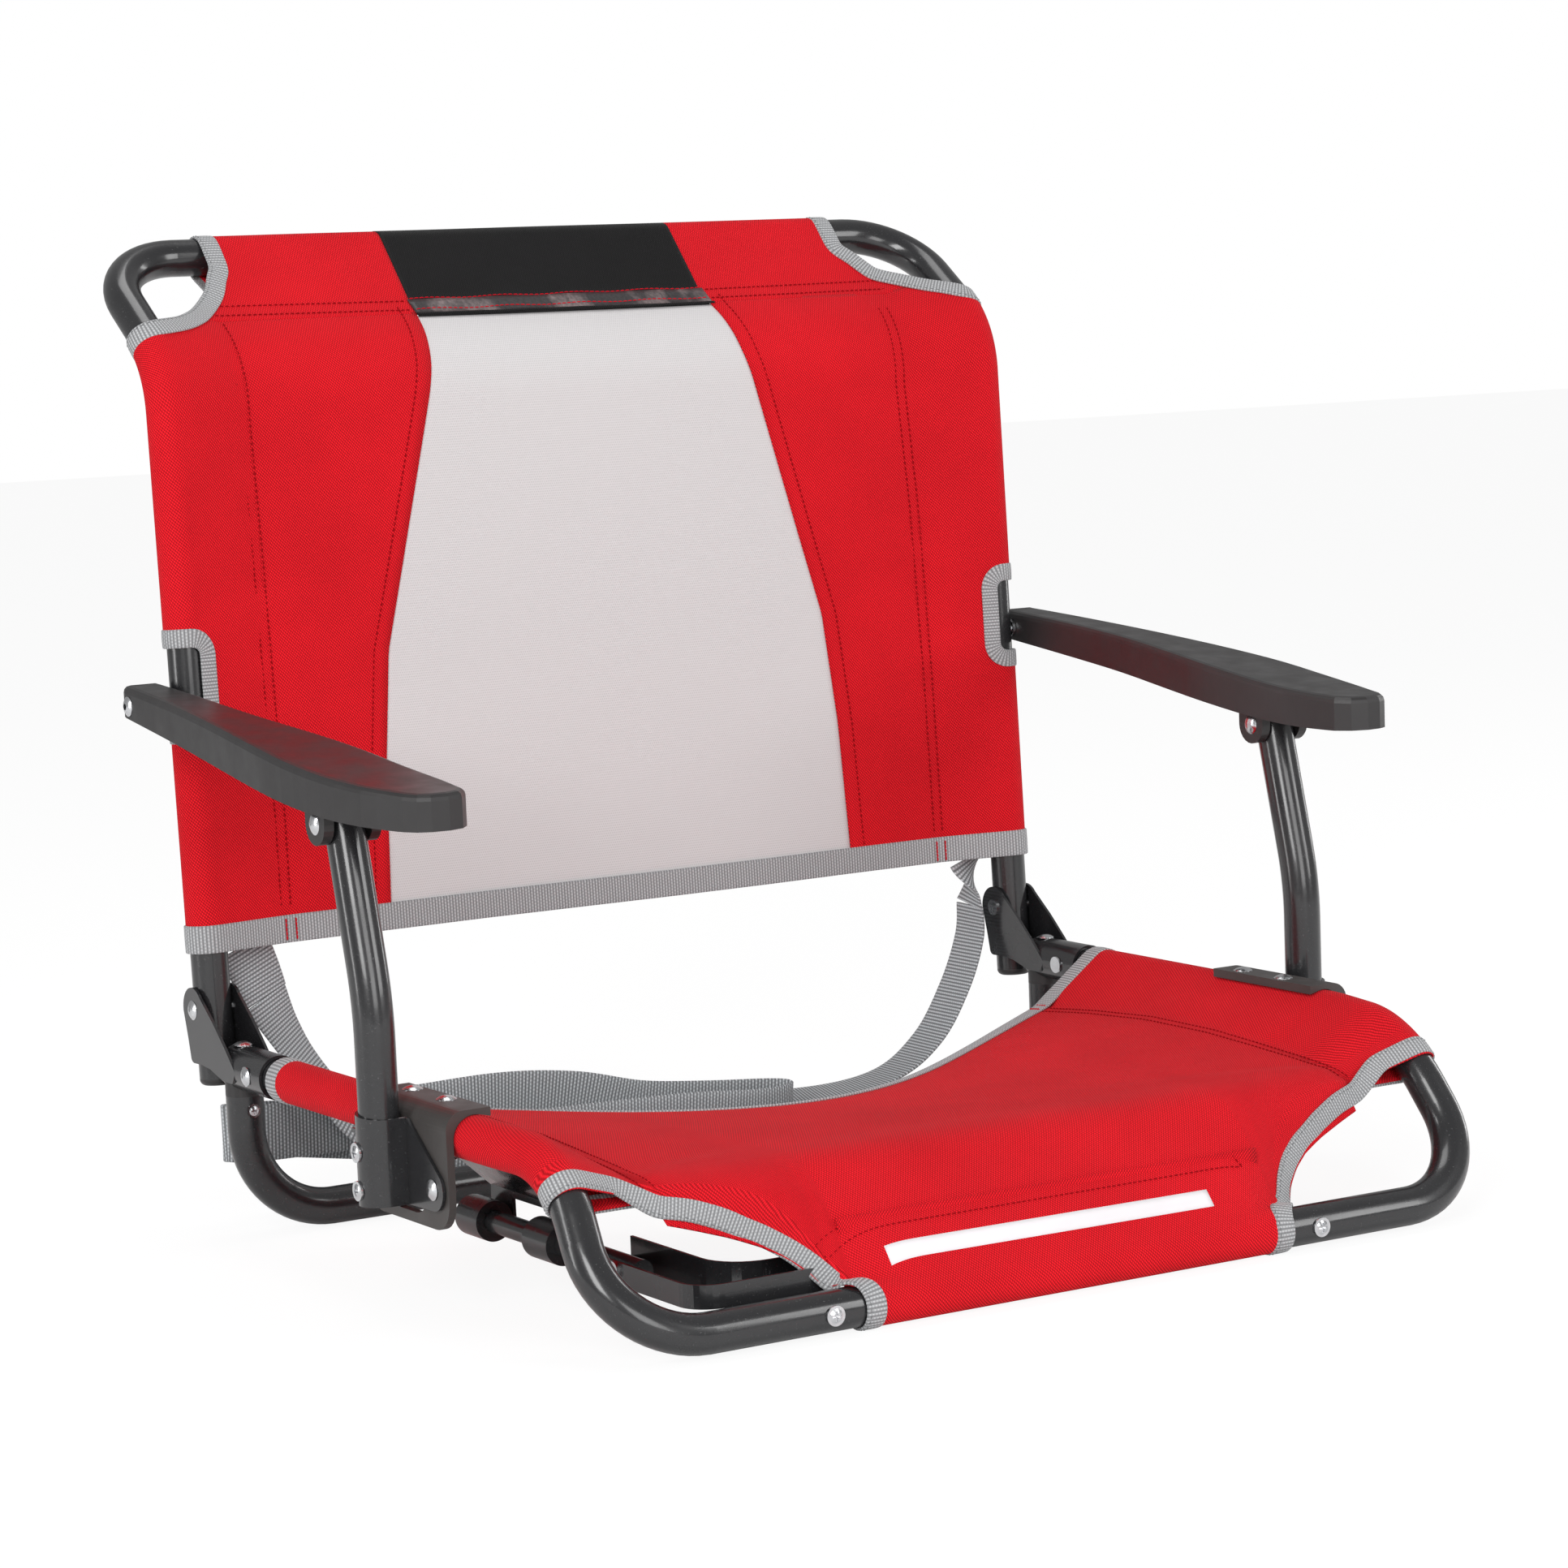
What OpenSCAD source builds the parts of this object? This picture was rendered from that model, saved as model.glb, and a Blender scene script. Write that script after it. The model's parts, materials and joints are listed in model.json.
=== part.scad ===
// Folding bleacher chair: tube frame, hinged back with armrests and posts, fabric slings and a bench hook.
// The chair faces -Y, +X is to the viewer's right, and it stands on z = 0.

/* [Frame tubes] */
// Outside diameter of the frame tubes
tube_d = 19; // [16:0.5:21]
// Wall of the frame tubes
tube_wall = 1.2; // [0.8:0.1:2]
// Distance between the centre lines of the two rails
frame_w = 489; // [440:1:520]
// Height of the rails' centre line
rail_z = 86.6; // [80:0.2:95]
// Depth at which the rails end inside the hinge brackets
rail_rear_y = 150; // [147:1:156]
// Depth at which the rails turn inwards
toe_y = -118; // [-122:1:-112]
// How far the rails run inwards in front
toe_in = 6.5; // [3:0.5:9]
// How far the rails run down before their bend
toe_drop = 2; // [0:0.5:4]
// Bend radius where the rails turn inwards
toe_r = 150; // [100:5:200]
// Depth at which the rails turn down to the front bar
rail_bend_y = -176; // [-178:1:-174]
// Depth of the front bar
front_bar_y = -230.5; // [-234:0.5:-228]
// How much wider the front bar's corners are than the rails
front_spread = 2; // [0:0.5:4]
// Bend radius where the rails turn down
rail_bend_r = 60; // [56:1:62]
// Bend radius at the ends of the front bar
front_corner_r = 45; // [40:1:48]
// Depth of the rear legs
leg_y = 142; // [136:1:144]
// Bend radius at the ends of the rear bar
leg_corner_r = 45; // [36:1:50]
// Height at which the leg tube ends under its plug
leg_top_z = 72.5; // [70:0.1:73]

/* [Back tube] */
// Depth of the back hinge
hinge_y = 174.5; // [170:0.5:178]
// Height of the back hinge
hinge_z = 112.7; // [110:0.1:118]
// Lean of the back from upright, in degrees
back_lean = 2.72; // [0:0.1:8]
// Length of tube below the hinge
back_tail = 35.5; // [30:0.5:36]
// Height at which the back tube kinks backwards
kink_z = 437; // [432:1:438]
// Depth of the top bar behind the kink
top_bar_dy = 74; // [68:1:78]
// Height of the top bar above the kink
top_bar_dz = 52.4; // [50:0.2:56]
// Bend radius of the kink
kink_r = 50; // [40:1:54]
// Bend radius at the ends of the top bar
top_corner_r = 40; // [36:1:44]
// Thickness of the end caps' floor
cap_t = 3.5; // [2:0.5:6]

/* [Hinge brackets] */
// Thickness of the pressed sheet
sheet_t = 1.5; // [1:0.1:2]
// Gap between the sheet and the tubes that it holds
sheet_gap = 0.3; // [0.1:0.05:0.5]
// Where the wrap on the rail begins
wrap_y0 = 99; // [95:1:105]
// Where the wrap on the rail ends
wrap_y1 = 147; // [145:1:150]
// Radius of the ear round the hinge
ear_r = 11.5; // [10:0.5:13]

/* [Rivets and screws] */
// Diameter of the pivot pins
pin_d = 6; // [5:0.1:7]
// Radial clearance of the pins in their holes
pin_fit = 0.05; // [0.02:0.01:0.08]
// Diameter of the rivet heads
head_d = 10; // [8:0.2:11]
// Height of the rivet heads
head_h = 2; // [1.2:0.1:2.5]
// Diameter of the pan head screws
screw_head_d = 9.4; // [8:0.2:10]
// Diameter of the screws' shanks
screw_d = 4.5; // [3.5:0.1:5]

/* [Saddles] */
// Middle of the saddles along the rail
saddle_y = -67.5; // [-70:0.5:-65]
// Length of the saddles along the rail
saddle_l = 82; // [78:1:88]
// Height of the flat top above the rail's centre line
saddle_top = 13.6; // [13:0.1:15]
// Thickness of the skirt
skirt_t = 3.7; // [3:0.1:5]
// Height of the skirt's lower edge
skirt_z = 44; // [40:0.5:47]
// Radius of the skirt's lower corners
skirt_corner_r = 14; // [8:1:18]
// Middle between the two rivets on top
saddle_rivet_y = -60.5; // [-63:0.5:-58]
// Distance between the two rivets on top
saddle_rivet_pitch = 34.4; // [30:0.2:36]

/* [Posts] */
// Depth of the posts' lower straight length
post_y = -60.6; // [-64:0.2:-57]
// Height of the posts' lower end
post_foot_z = 54; // [53:0.5:58]
// Depth of the post pivot on the saddle
foot_pivot_y = -96; // [-99:0.5:-93]
// Height of the post pivot on the saddle
foot_pivot_z = 63; // [61:0.5:66]
// Depth of the pivot below the armrest
lug_pivot_y = -40; // [-44:0.5:-36]
// Height of the pivot below the armrest
lug_pivot_z = 228.4; // [220:0.2:235]
// Backward lean of the posts' upper length, in degrees
post_lean = 14; // [10:0.5:18]
// Bend radius of the posts
post_bend_r = 150; // [100:5:180]
// Length of post above the pivot
post_top = 8; // [7:0.5:10]
// Height of the clamps' upper edge
clamp_top_z = 96; // [90:0.5:100]
// Height of the clamps' lower edge
clamp_foot_z = 52; // [50:0.5:53]
// Radius of the clamps' pivot ear
clamp_ear_r = 10; // [8.5:0.5:11]

/* [Armrests] */
// Height of the rear armrest pivot
arm_pivot_z = 268.2; // [260:0.2:275]
// Length of the armrest behind its rear pivot
arm_tail = 9.5; // [8:0.5:12]
// Length of the armrest in front of its front pivot
arm_nose = 90; // [60:1:100]
// Height of the armrest's lower edge above the front pivot
arm_rise = 7.6; // [6:0.2:9]
// How far the armrest's nose curls up
arm_curl = 5.5; // [0:0.5:8]
// Depth of the armrest's lower edge below the rear pivot
arm_drop = 6.6; // [5:0.2:8]
// Height of the armrest's side at its middle
arm_h = 20; // [17:0.5:23]
// Height of the armrest's side at its rear end
arm_h_rear = 15.5; // [14:0.5:17]
// Wall of the armrest shell
arm_wall = 2.6; // [2:0.1:3]
// Radius of the armrest's top edge
arm_edge_r = 3.4; // [1:0.1:3.6]
// Thickness of the two lugs
lug_t = 5; // [4:0.2:6]
// Width of the lugs
lug_w = 20; // [18:0.5:23]
// Gap between a lug and the post
lug_gap = 0.25; // [0.2:0.05:0.5]

/* [Bench hook] */
// Place of the hook rod across the seat
hook_x = -188; // [-192:1:-184]
// Height of the hook rod
hook_z = 24.5; // [23:0.1:28]
// Diameter of the hook rod
rod_d = 11; // [9:0.5:12]
// Outside diameter of the collars
collar_d = 20; // [18:0.5:21]
// Width of the hook channel
channel_w = 34; // [30:1:38]
// Height of the channel's walls
channel_h = 11; // [9:0.5:13]
// Sheet of the channel
channel_t = 1.5; // [1:0.1:2]
// End of the hook's short leg across the seat
hook_tip_x = -122; // [-130:1:-121]
// Thickness of the hanger plate
hanger_t = 2; // [1.5:0.1:2.5]

/* [Fabric] */
// Thickness of the woven fabric
cloth_t = 1; // [0.7:0.1:1.2]
// Slack between the sleeves and their tubes
sleeve_gap = 0.25; // [0.2:0.05:0.4]
// Thickness of the bindings
binding_t = 2; // [1.4:0.1:2.4]
// Width of the bindings
binding_w = 12; // [9:0.5:14]
// Distance of the sleeve seams from the tubes' centre lines
seam_in = 43; // [38:1:50]
// Height of the back's lower hem
hem_z = 141; // [138:0.5:146]
// Height of the hem binding
hem_h = 14; // [10:0.5:16]
// Height at which the side sleeves end below the top corners
side_sleeve_z = 458; // [456:0.5:459]
// Half width of the top sleeve
top_sleeve_x = 191; // [186:1:196]
// Half width of the black top band
band_x = 88; // [84:1:92]
// Height of the seam below the top bar
top_seam_z = 463; // [460:0.5:466]
// Lowest point of the openings for the arm pivots
arm_slot_z0 = 252; // [244:1:255]
// Highest point of the openings for the arm pivots
arm_slot_z1 = 300; // [296:1:310]
// Rear end of the seat's rail sleeves
seat_rear_y = 92; // [86:1:96]
// Angle of the rails' bend at which the seat's sleeves end, in degrees
sleeve_end_a = 43; // [36:1:46]
// Depth of the rear edge in the middle of the seat
seat_dip_y = -16; // [-30:1:0]
// Sag of the seat at its rear edge
seat_sag = 23; // [16:1:32]
// Shape of the sling's dip across: higher is steeper beside the rails
sag_power = 3.2; // [2:0.1:4]
// How far the sling's free rear edge curls down
rear_curl = 5; // [0:1:8]
// Length of that curl
rear_curl_l = 40; // [30:5:60]
// Half width of the sleeve on the front bar
front_sleeve_x = 120; // [112:1:126]
// Length of the front sleeve up to its seam
front_seam = 40; // [34:1:46]
// How evenly the seat's front corners are rounded
corner_power = 0.62; // [0.5:0.02:0.8]

/* [Strap] */
// Width of the webbing strap
strap_w = 30; // [25:1:32]
// Thickness of the webbing strap
strap_t = 1.6; // [1.2:0.1:2]

/* [Hidden] */

$fn = 48;
tube_r = tube_d / 2;
tube_bore = tube_d - 2 * tube_wall;
// A bend comes out of the bender a hair slimmer than the straight tube that it runs into
bend_draw = 0.01;
bend_lap = 0.5;
xh = frame_w / 2;
leg_bar_z = tube_r;
pin_r = pin_d / 2;
hole_r = pin_r + pin_fit;
head_r = head_d / 2;
screw_r = screw_d / 2;
eps = 0.01;

// Depth of the back's centre line at a height, below the kink
function back_y(z) = hinge_y + (z - hinge_z) * tan(back_lean);
kink_y = back_y(kink_z);
top_y = kink_y + top_bar_dy;
top_z = kink_z + top_bar_dz;
arm_pivot_y = back_y(arm_pivot_z);

wrap_ri = tube_r + sheet_gap;
wrap_ro = wrap_ri + sheet_t;

sleeve_ri = tube_r + sleeve_gap;
sleeve_ro = sleeve_ri + cloth_t;
front_bar_z = sleeve_ro;

// Across the chair: sleeve, skirt, post
skirt_in = xh + sleeve_ro + 0.3;
skirt_out = skirt_in + skirt_t;
post_x = skirt_out + sheet_gap + tube_r;

black = [0.17, 0.17, 0.18];
plastic = [0.2, 0.2, 0.21];
brown_grey = [0.31, 0.29, 0.28];
zinc = [0.75, 0.75, 0.77];
red = [0.78, 0.1, 0.13];
grey = [0.55, 0.58, 0.59];
pale = [0.84, 0.82, 0.82];

// Vectors and curves
function unit(v) = v / norm(v);
function mix(a, b, t) = a + (b - a) * t;
function flip(list) = [for (i = [len(list) - 1:-1:0]) list[i]];
function arc(c, r, a0, a1, n) = [for (i = [0:n]) c + r * [cos(mix(a0, a1, i / n)), sin(mix(a0, a1, i / n))]];
function clamp_index(i, n) = max(0, min(n - 1, i));
function spline_point(p, k, t) =
    let (n = len(p), a = p[clamp_index(k - 1, n)], b = p[k], c = p[k + 1], d = p[clamp_index(k + 2, n)])
    0.5 * (2 * b + (c - a) * t + (2 * a - 5 * b + 4 * c - d) * t * t + (3 * b - a - 3 * c + d) * t * t * t);
function spline(p, steps) = concat(
    [for (k = [0:len(p) - 2]) for (s = [0:steps - 1]) spline_point(p, k, s / steps)],
    [p[len(p) - 1]]);

function volume_of(points, faces) =
    [for (f = faces) points[f[0]] * cross(points[f[1]], points[f[2]])] * [for (f = faces) 1 / 6];

// A closed skin over a stack of rings with an even number of points; the ends are closed by a ladder
module skin(rings) {
    n = len(rings[0]);
    last = len(rings) - 1;
    points = [for (ring = rings) for (p = ring) p];
    sides = [for (j = [0:last - 1]) for (i = [0:n - 1])
        let (a = j * n + i, b = j * n + (i + 1) % n, c = b + n, d = a + n)
        each [[a, b, c], [a, c, d]]];
    ends = [for (i = [0:n / 2 - 2])
        let (a = i, b = i + 1, c = n - 2 - i, d = n - 1 - i, m = last * n)
        each [[a, c, b], [a, d, c], [m + a, m + b, m + c], [m + a, m + c, m + d]]];
    faces = concat(sides, ends);
    outward = volume_of(points, faces) < 0 ? faces : [for (f = faces) flip(f)];
    polyhedron(points = points, faces = outward, convexity = 8);
}

// A flat list of points thickened to a closed outline
function side_of(p, i) =
    let (n = len(p), d = p[clamp_index(i + 1, n)] - p[clamp_index(i - 1, n)])
    [-d.y, d.x] / norm(d);
function thick(p, t) = concat(
    [for (i = [0:len(p) - 1]) p[i] + side_of(p, i) * t / 2],
    [for (i = [len(p) - 1:-1:0]) p[i] - side_of(p, i) * t / 2]);

// The chair is built on its right side and mirrored to the left
module on_side(s) {
    if (s > 0) {
        children();
    } else {
        mirror([1, 0, 0]) children();
    }
}

// Draws an outline given as depth and height, from x0 to x1
module along_x(x0, x1) {
    translate([x0, 0, 0]) rotate([90, 0, 90]) linear_extrude(x1 - x0) children();
}

// Draws an outline given as width and height, from y0 to y1
module along_y(y0, y1) {
    translate([0, y1, 0]) rotate([90, 0, 0]) linear_extrude(y1 - y0) children();
}

module bore_x(y, z, r, x0, x1) {
    translate([x0, y, z]) rotate([0, 90, 0]) cylinder(r = r, h = x1 - x0);
}

// Tubes made of straight runs and bends
module ring(od, id) {
    difference() {
        circle(d = od);
        circle(d = id);
    }
}

module place(x, y, z, origin) {
    multmatrix([[x.x, y.x, z.x, origin.x], [x.y, y.y, z.y, origin.y], [x.z, y.z, z.z, origin.z], [0, 0, 0, 1]])
        children();
}

module tube_run(a, b) {
    d = unit(b - a);
    u = unit(cross(abs(d.z) < 0.9 ? [0, 0, 1] : [1, 0, 0], d));
    place(u, cross(d, u), d, a) linear_extrude(norm(b - a)) ring(tube_d, tube_bore);
}

function turn_angle(a, b, c) = acos(unit(b - a) * unit(c - b));

module tube_bend(a, b, c, r) {
    d = unit(b - a);
    e = unit(c - b);
    n = unit(e - (d * e) * d);
    angle = turn_angle(a, b, c);
    place(-n, d, cross(d, n), b - d * r * tan(angle / 2) + n * r)
        rotate_extrude(angle = angle) translate([r, 0]) ring(tube_d - 2 * bend_draw, tube_bore + 2 * bend_draw);
}

// radii holds one bend radius for each point between the ends
module bent_tube(p, radii) {
    last = len(p) - 1;
    cut = [for (i = [0:last]) (i == 0 || i == last) ? 0 : radii[i - 1] * tan(turn_angle(p[i - 1], p[i], p[i + 1]) / 2)];
    for (i = [0:last - 1]) {
        d = unit(p[i + 1] - p[i]);
        tube_run(p[i] + d * max(0, cut[i] - bend_lap), p[i + 1] - d * max(0, cut[i + 1] - bend_lap));
    }
    for (i = [1:last - 1]) {
        tube_bend(p[i - 1], p[i], p[i + 1], radii[i - 1]);
    }
}

function mirrored(p) = concat(p, [for (q = flip(p)) [-q.x, q.y, q.z]]);

// Rivets and screws: the head sits on z = 0 and the shank hangs below it
module rivet(shank, tail_head = true) {
    intersection() {
        translate([0, 0, head_h - head_r * 1.6]) sphere(r = head_r * 1.6);
        cylinder(r = head_r, h = head_h);
    }
    translate([0, 0, -shank]) cylinder(r = pin_r, h = shank + eps);
    if (tail_head) {
        translate([0, 0, -shank - head_h / 2]) cylinder(r = head_r * 0.9, h = head_h / 2);
    }
}

module pan_screw(shank) {
    head = screw_head_d / 2;
    difference() {
        union() {
            cylinder(r = head, h = head_h / 2);
            intersection() {
                translate([0, 0, head_h - head * 1.3]) sphere(r = head * 1.3);
                cylinder(r = head, h = head_h * 1.2);
            }
        }
        for (a = [0, 90]) {
            rotate(a) translate([-head * 0.5, -0.5, head_h * 0.5]) cube([head, 1, head_h]);
        }
    }
    translate([0, 0, -shank]) cylinder(r = screw_r, h = shank + eps);
}

// Seat and leg frame
rail_start = [xh, rail_rear_y, rail_z];
toe_point = [xh, toe_y, rail_z];
turn_point = [xh - toe_in, rail_bend_y, rail_z - toe_drop];
corner_point = [xh + front_spread, front_bar_y, front_bar_z];
rail_radii = [toe_r, rail_bend_r, front_corner_r];
rail_rivet_y = (wrap_y0 + wrap_y1) / 2 - 8.5;
top_rivet_y = wrap_y1 - 6;
front_screw_x = front_sleeve_x + 17;
saddle_rivet_x = xh - 2;
saddle_rivet_ys = [saddle_rivet_y + saddle_rivet_pitch / 2, saddle_rivet_y - saddle_rivet_pitch / 2];

module seat_tube() {
    color(black) difference() {
        bent_tube(mirrored([rail_start, toe_point, turn_point, corner_point]), concat(rail_radii, flip(rail_radii)));
        for (s = [-1, 1]) {
            bore_x(rail_rivet_y, rail_z, hole_r, s * xh - tube_d, s * xh + tube_d);
            translate([s * xh, top_rivet_y, rail_z]) cylinder(r = hole_r, h = tube_d);
            for (y = saddle_rivet_ys) {
                translate([s * saddle_rivet_x, y, rail_z - tube_d]) cylinder(r = hole_r, h = 2 * tube_d);
            }
            translate([s * front_screw_x, front_bar_y, front_bar_z]) rotate([90, 0, 0]) cylinder(r = screw_r + pin_fit, h = tube_d);
        }
    }
}

leg_screw_z = leg_top_z - 7;

module rear_leg_tube() {
    leg_path = [[xh, leg_y, leg_top_z], [xh, leg_y, leg_bar_z]];
    color(black) difference() {
        bent_tube(mirrored(leg_path), [leg_corner_r, leg_corner_r]);
        for (s = [-1, 1]) {
            translate([s * xh, leg_y, leg_screw_z]) rotate([90, 0, 0]) cylinder(r = screw_r + pin_fit, h = tube_d);
        }
    }
}

// Plug with a collar that is hollowed to the bracket's wrap, and a spigot in the leg
module leg_plugs() {
    spigot = 16;
    color(black) for (s = [-1, 1]) {
        difference() {
            translate([s * xh, leg_y, 0]) union() {
                translate([0, 0, leg_top_z]) cylinder(r = tube_r, h = rail_z - leg_top_z - 4);
                translate([0, 0, leg_top_z - spigot]) cylinder(d = tube_bore - 0.2, h = spigot + eps);
            }
            translate([s * xh, leg_y - tube_d, rail_z]) rotate([-90, 0, 0]) cylinder(r = wrap_ro + 0.05, h = 2 * tube_d);
            translate([s * xh, leg_y, leg_screw_z]) rotate([90, 0, 0]) cylinder(r = screw_r + pin_fit, h = tube_d);
        }
    }
}

module leg_screws() {
    color(zinc) for (s = [-1, 1]) {
        translate([s * xh, leg_y - tube_r, leg_screw_z]) rotate([90, 0, 0]) scale(0.75) pan_screw(9);
    }
}

module front_screws() {
    color(zinc) for (s = [-1, 1]) {
        translate([s * front_screw_x, front_bar_y - tube_r, front_bar_z]) rotate([90, 0, 0]) pan_screw(8);
    }
}

// Outline of one cheek of the hinge bracket, as depth and height
function cheek_points() = concat(
    [[wrap_y1 - 20, rail_z], [wrap_y1 - 9, rail_z + wrap_ro - 0.6], [hinge_y - 2 * ear_r, hinge_z - 3.5]],
    arc([hinge_y, hinge_z], ear_r, 140, -6, 16),
    [[hinge_y + 7.5, hinge_z - 15]],
    arc([hinge_y + 2, rail_z + 2.2], 3.4, 0, -90, 4),
    [[hinge_y - 8, rail_z - 1], [hinge_y - 17, rail_z - 1.8], [wrap_y1 - 5, rail_z - 6], [wrap_y1 - 16, rail_z - 6]]);

module hinge_bracket() {
    color(black) difference() {
        union() {
            translate([xh, wrap_y0, rail_z]) rotate([-90, 0, 0]) linear_extrude(wrap_y1 - wrap_y0)
                ring(2 * wrap_ro, 2 * wrap_ri);
            for (x = [xh + wrap_ri, xh - wrap_ro]) {
                along_x(x, x + sheet_t) polygon(cheek_points());
            }
        }
        bore_x(hinge_y, hinge_z, hole_r, xh - tube_d, xh + tube_d);
        bore_x(rail_rivet_y, rail_z, hole_r, xh - tube_d, xh + tube_d);
        translate([xh, top_rivet_y, rail_z]) cylinder(r = hole_r, h = tube_d);
    }
}

module rail_rivets() {
    color(zinc) for (s = [-1, 1]) on_side(s) {
        translate([xh + wrap_ro, rail_rivet_y, rail_z]) rotate([0, 90, 0]) rivet(2 * wrap_ro);
        translate([xh, top_rivet_y, rail_z + wrap_ro]) rivet(sheet_t + sheet_gap + tube_wall, false);
    }
}

module hinge_rivets() {
    color(zinc) for (s = [-1, 1]) on_side(s) {
        translate([xh + wrap_ro, hinge_y, hinge_z]) rotate([0, 90, 0]) rivet(2 * wrap_ro);
    }
}

// Saddles over the rails, which carry the posts
saddle_y0 = saddle_y - saddle_l / 2;
saddle_y1 = saddle_y + saddle_l / 2;
saddle_top_z = rail_z + saddle_top;
saddle_edge = 9;

module saddle_section() {
    inner_x = xh - 8.5;
    cut_r = skirt_in - xh;
    lip_a = 90 + asin((sleeve_ri + cloth_t / 2) / seam_in);
    lip = cut_r * [cos(lip_a), sin(lip_a)];
    difference() {
        polygon(concat(
            [[inner_x, rail_z], [inner_x, saddle_top_z]],
            arc([skirt_out - saddle_edge, saddle_top_z - saddle_edge], saddle_edge, 90, 0, 8),
            [[skirt_out, skirt_z], [skirt_in, skirt_z], [skirt_in, rail_z]]));
        translate([xh, rail_z]) circle(r = cut_r);
        // the lip follows the sheet to its seam
        translate([xh, rail_z]) polygon([[0, 0], lip, lip + tube_d * [-sin(lip_a), cos(lip_a)], [-2 * tube_d, 0]]);
    }
}

module saddle() {
    window = 13;
    color(brown_grey) difference() {
        intersection() {
            along_y(saddle_y0, saddle_y1) saddle_section();
            along_x(xh - tube_d, skirt_out + 1) polygon(concat(
                [[saddle_y0, saddle_top_z + 1]],
                arc([saddle_y0 + skirt_corner_r, skirt_z + skirt_corner_r], skirt_corner_r, 180, 270, 8),
                arc([saddle_y1 - skirt_corner_r, skirt_z + skirt_corner_r], skirt_corner_r, 270, 360, 8),
                [[saddle_y1, saddle_top_z + 1]]));
        }
        // window behind the clamp
        along_x(skirt_in - 1, skirt_out + 1) polygon(concat(
            arc([post_y - 14, skirt_z + 5 + window], window, -90, -270, 12),
            arc([post_y + 2, skirt_z + 5 + window], window, 90, -90, 12)));
        bore_x(foot_pivot_y, foot_pivot_z, hole_r, skirt_in - 1, skirt_out + 1);
        for (y = saddle_rivet_ys) {
            translate([saddle_rivet_x, y, rail_z]) cylinder(r = hole_r, h = 2 * saddle_top);
        }
    }
}

module saddle_rivets() {
    // The left ones also hold the hook's hanger
    color(zinc) for (s = [-1, 1]) on_side(s) for (y = saddle_rivet_ys) {
        translate([saddle_rivet_x, y, saddle_top_z])
            rivet(saddle_top + rail_z - hanger_z + (s < 0 ? hanger_t : 0));
    }
}

module post_pivot_rivets() {
    shank = skirt_t + sheet_gap + sheet_t + 0.2;
    color(zinc) for (s = [-1, 1]) on_side(s) {
        translate([skirt_in + shank, foot_pivot_y, foot_pivot_z]) rotate([0, 90, 0]) rivet(shank, false);
    }
}

// Posts with their clamps
post_turn_z = lug_pivot_z - (lug_pivot_y - post_y) / tan(post_lean);
post_axis_up = [0, sin(post_lean), cos(post_lean)];
clamp_screw_ys = post_y + 2;
clamp_screw_zs = [77.5, 59.5];
clamp_ri = tube_r + 0.1;
clamp_ro = clamp_ri + sheet_t;

module post_tube() {
    top = [post_x, lug_pivot_y, lug_pivot_z] + post_axis_up * post_top;
    color(black) difference() {
        bent_tube([[post_x, post_y, post_foot_z], [post_x, post_y, post_turn_z], top], [post_bend_r]);
        for (z = clamp_screw_zs) {
            bore_x(clamp_screw_ys, z, screw_r + pin_fit, post_x, post_x + tube_d);
        }
    }
}

// Plan of the clamp: a sleeve round the post's back, outside and front, then the ear beside the saddle
module clamp_plan() {
    ear_in = skirt_out + sheet_gap;
    ear_out = ear_in + sheet_t;
    ear_tip = foot_pivot_y - clamp_ear_r - 1;
    translate([post_x, post_y]) difference() {
        circle(r = clamp_ro);
        circle(r = clamp_ri);
        translate([-2 * clamp_ro, -2 * clamp_ro]) square([2 * clamp_ro, 2 * clamp_ro]);
        rotate(135) translate([0, 0]) square([2 * clamp_ro, 2 * clamp_ro]);
    }
    translate([ear_in, post_y - clamp_ro]) square([post_x - ear_in, sheet_t]);
    translate([ear_in, ear_tip]) square([sheet_t, post_y - clamp_ro - ear_tip + sheet_t]);
}

module post_clamp() {
    front = post_y - clamp_ro;
    rear = post_y + clamp_ro + 1;
    color(black) difference() {
        intersection() {
            translate([0, 0, clamp_foot_z]) linear_extrude(clamp_top_z - clamp_foot_z) clamp_plan();
            along_x(skirt_out, post_x + tube_d) polygon(concat(
                [[rear, clamp_foot_z], [rear, clamp_top_z], [front - 1, clamp_top_z - 3]],
                arc([foot_pivot_y, foot_pivot_z], clamp_ear_r, 142, 262, 10)));
        }
        bore_x(foot_pivot_y, foot_pivot_z, hole_r, skirt_out, post_x + tube_d);
        for (z = clamp_screw_zs) {
            bore_x(clamp_screw_ys, z, screw_r + pin_fit, post_x, post_x + tube_d);
        }
    }
}

module clamp_screws() {
    color(zinc) for (z = clamp_screw_zs) {
        translate([post_x + clamp_ro, clamp_screw_ys, z]) rotate([0, 90, 0]) pan_screw(8);
    }
}

// Armrests: hollow shells, open below, with two lugs and a boss for the rear pivot
arm_slope = (arm_pivot_z - arm_drop - lug_pivot_z - arm_rise) / (arm_pivot_y - lug_pivot_y);
arm_rear_y = arm_pivot_y + arm_tail;
arm_front_y = lug_pivot_y - arm_nose;
arm_l = arm_rear_y - arm_front_y;
function arm_foot(y) = lug_pivot_z + arm_rise + (y - lug_pivot_y) * arm_slope
    + arm_curl * pow(max(0, lug_pivot_y - y) / arm_nose, 2);
function arm_side(y) = arm_h - (arm_h - arm_h_rear) * pow((y - arm_front_y - arm_l * 0.45) / (arm_l * 0.55), 2);

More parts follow.
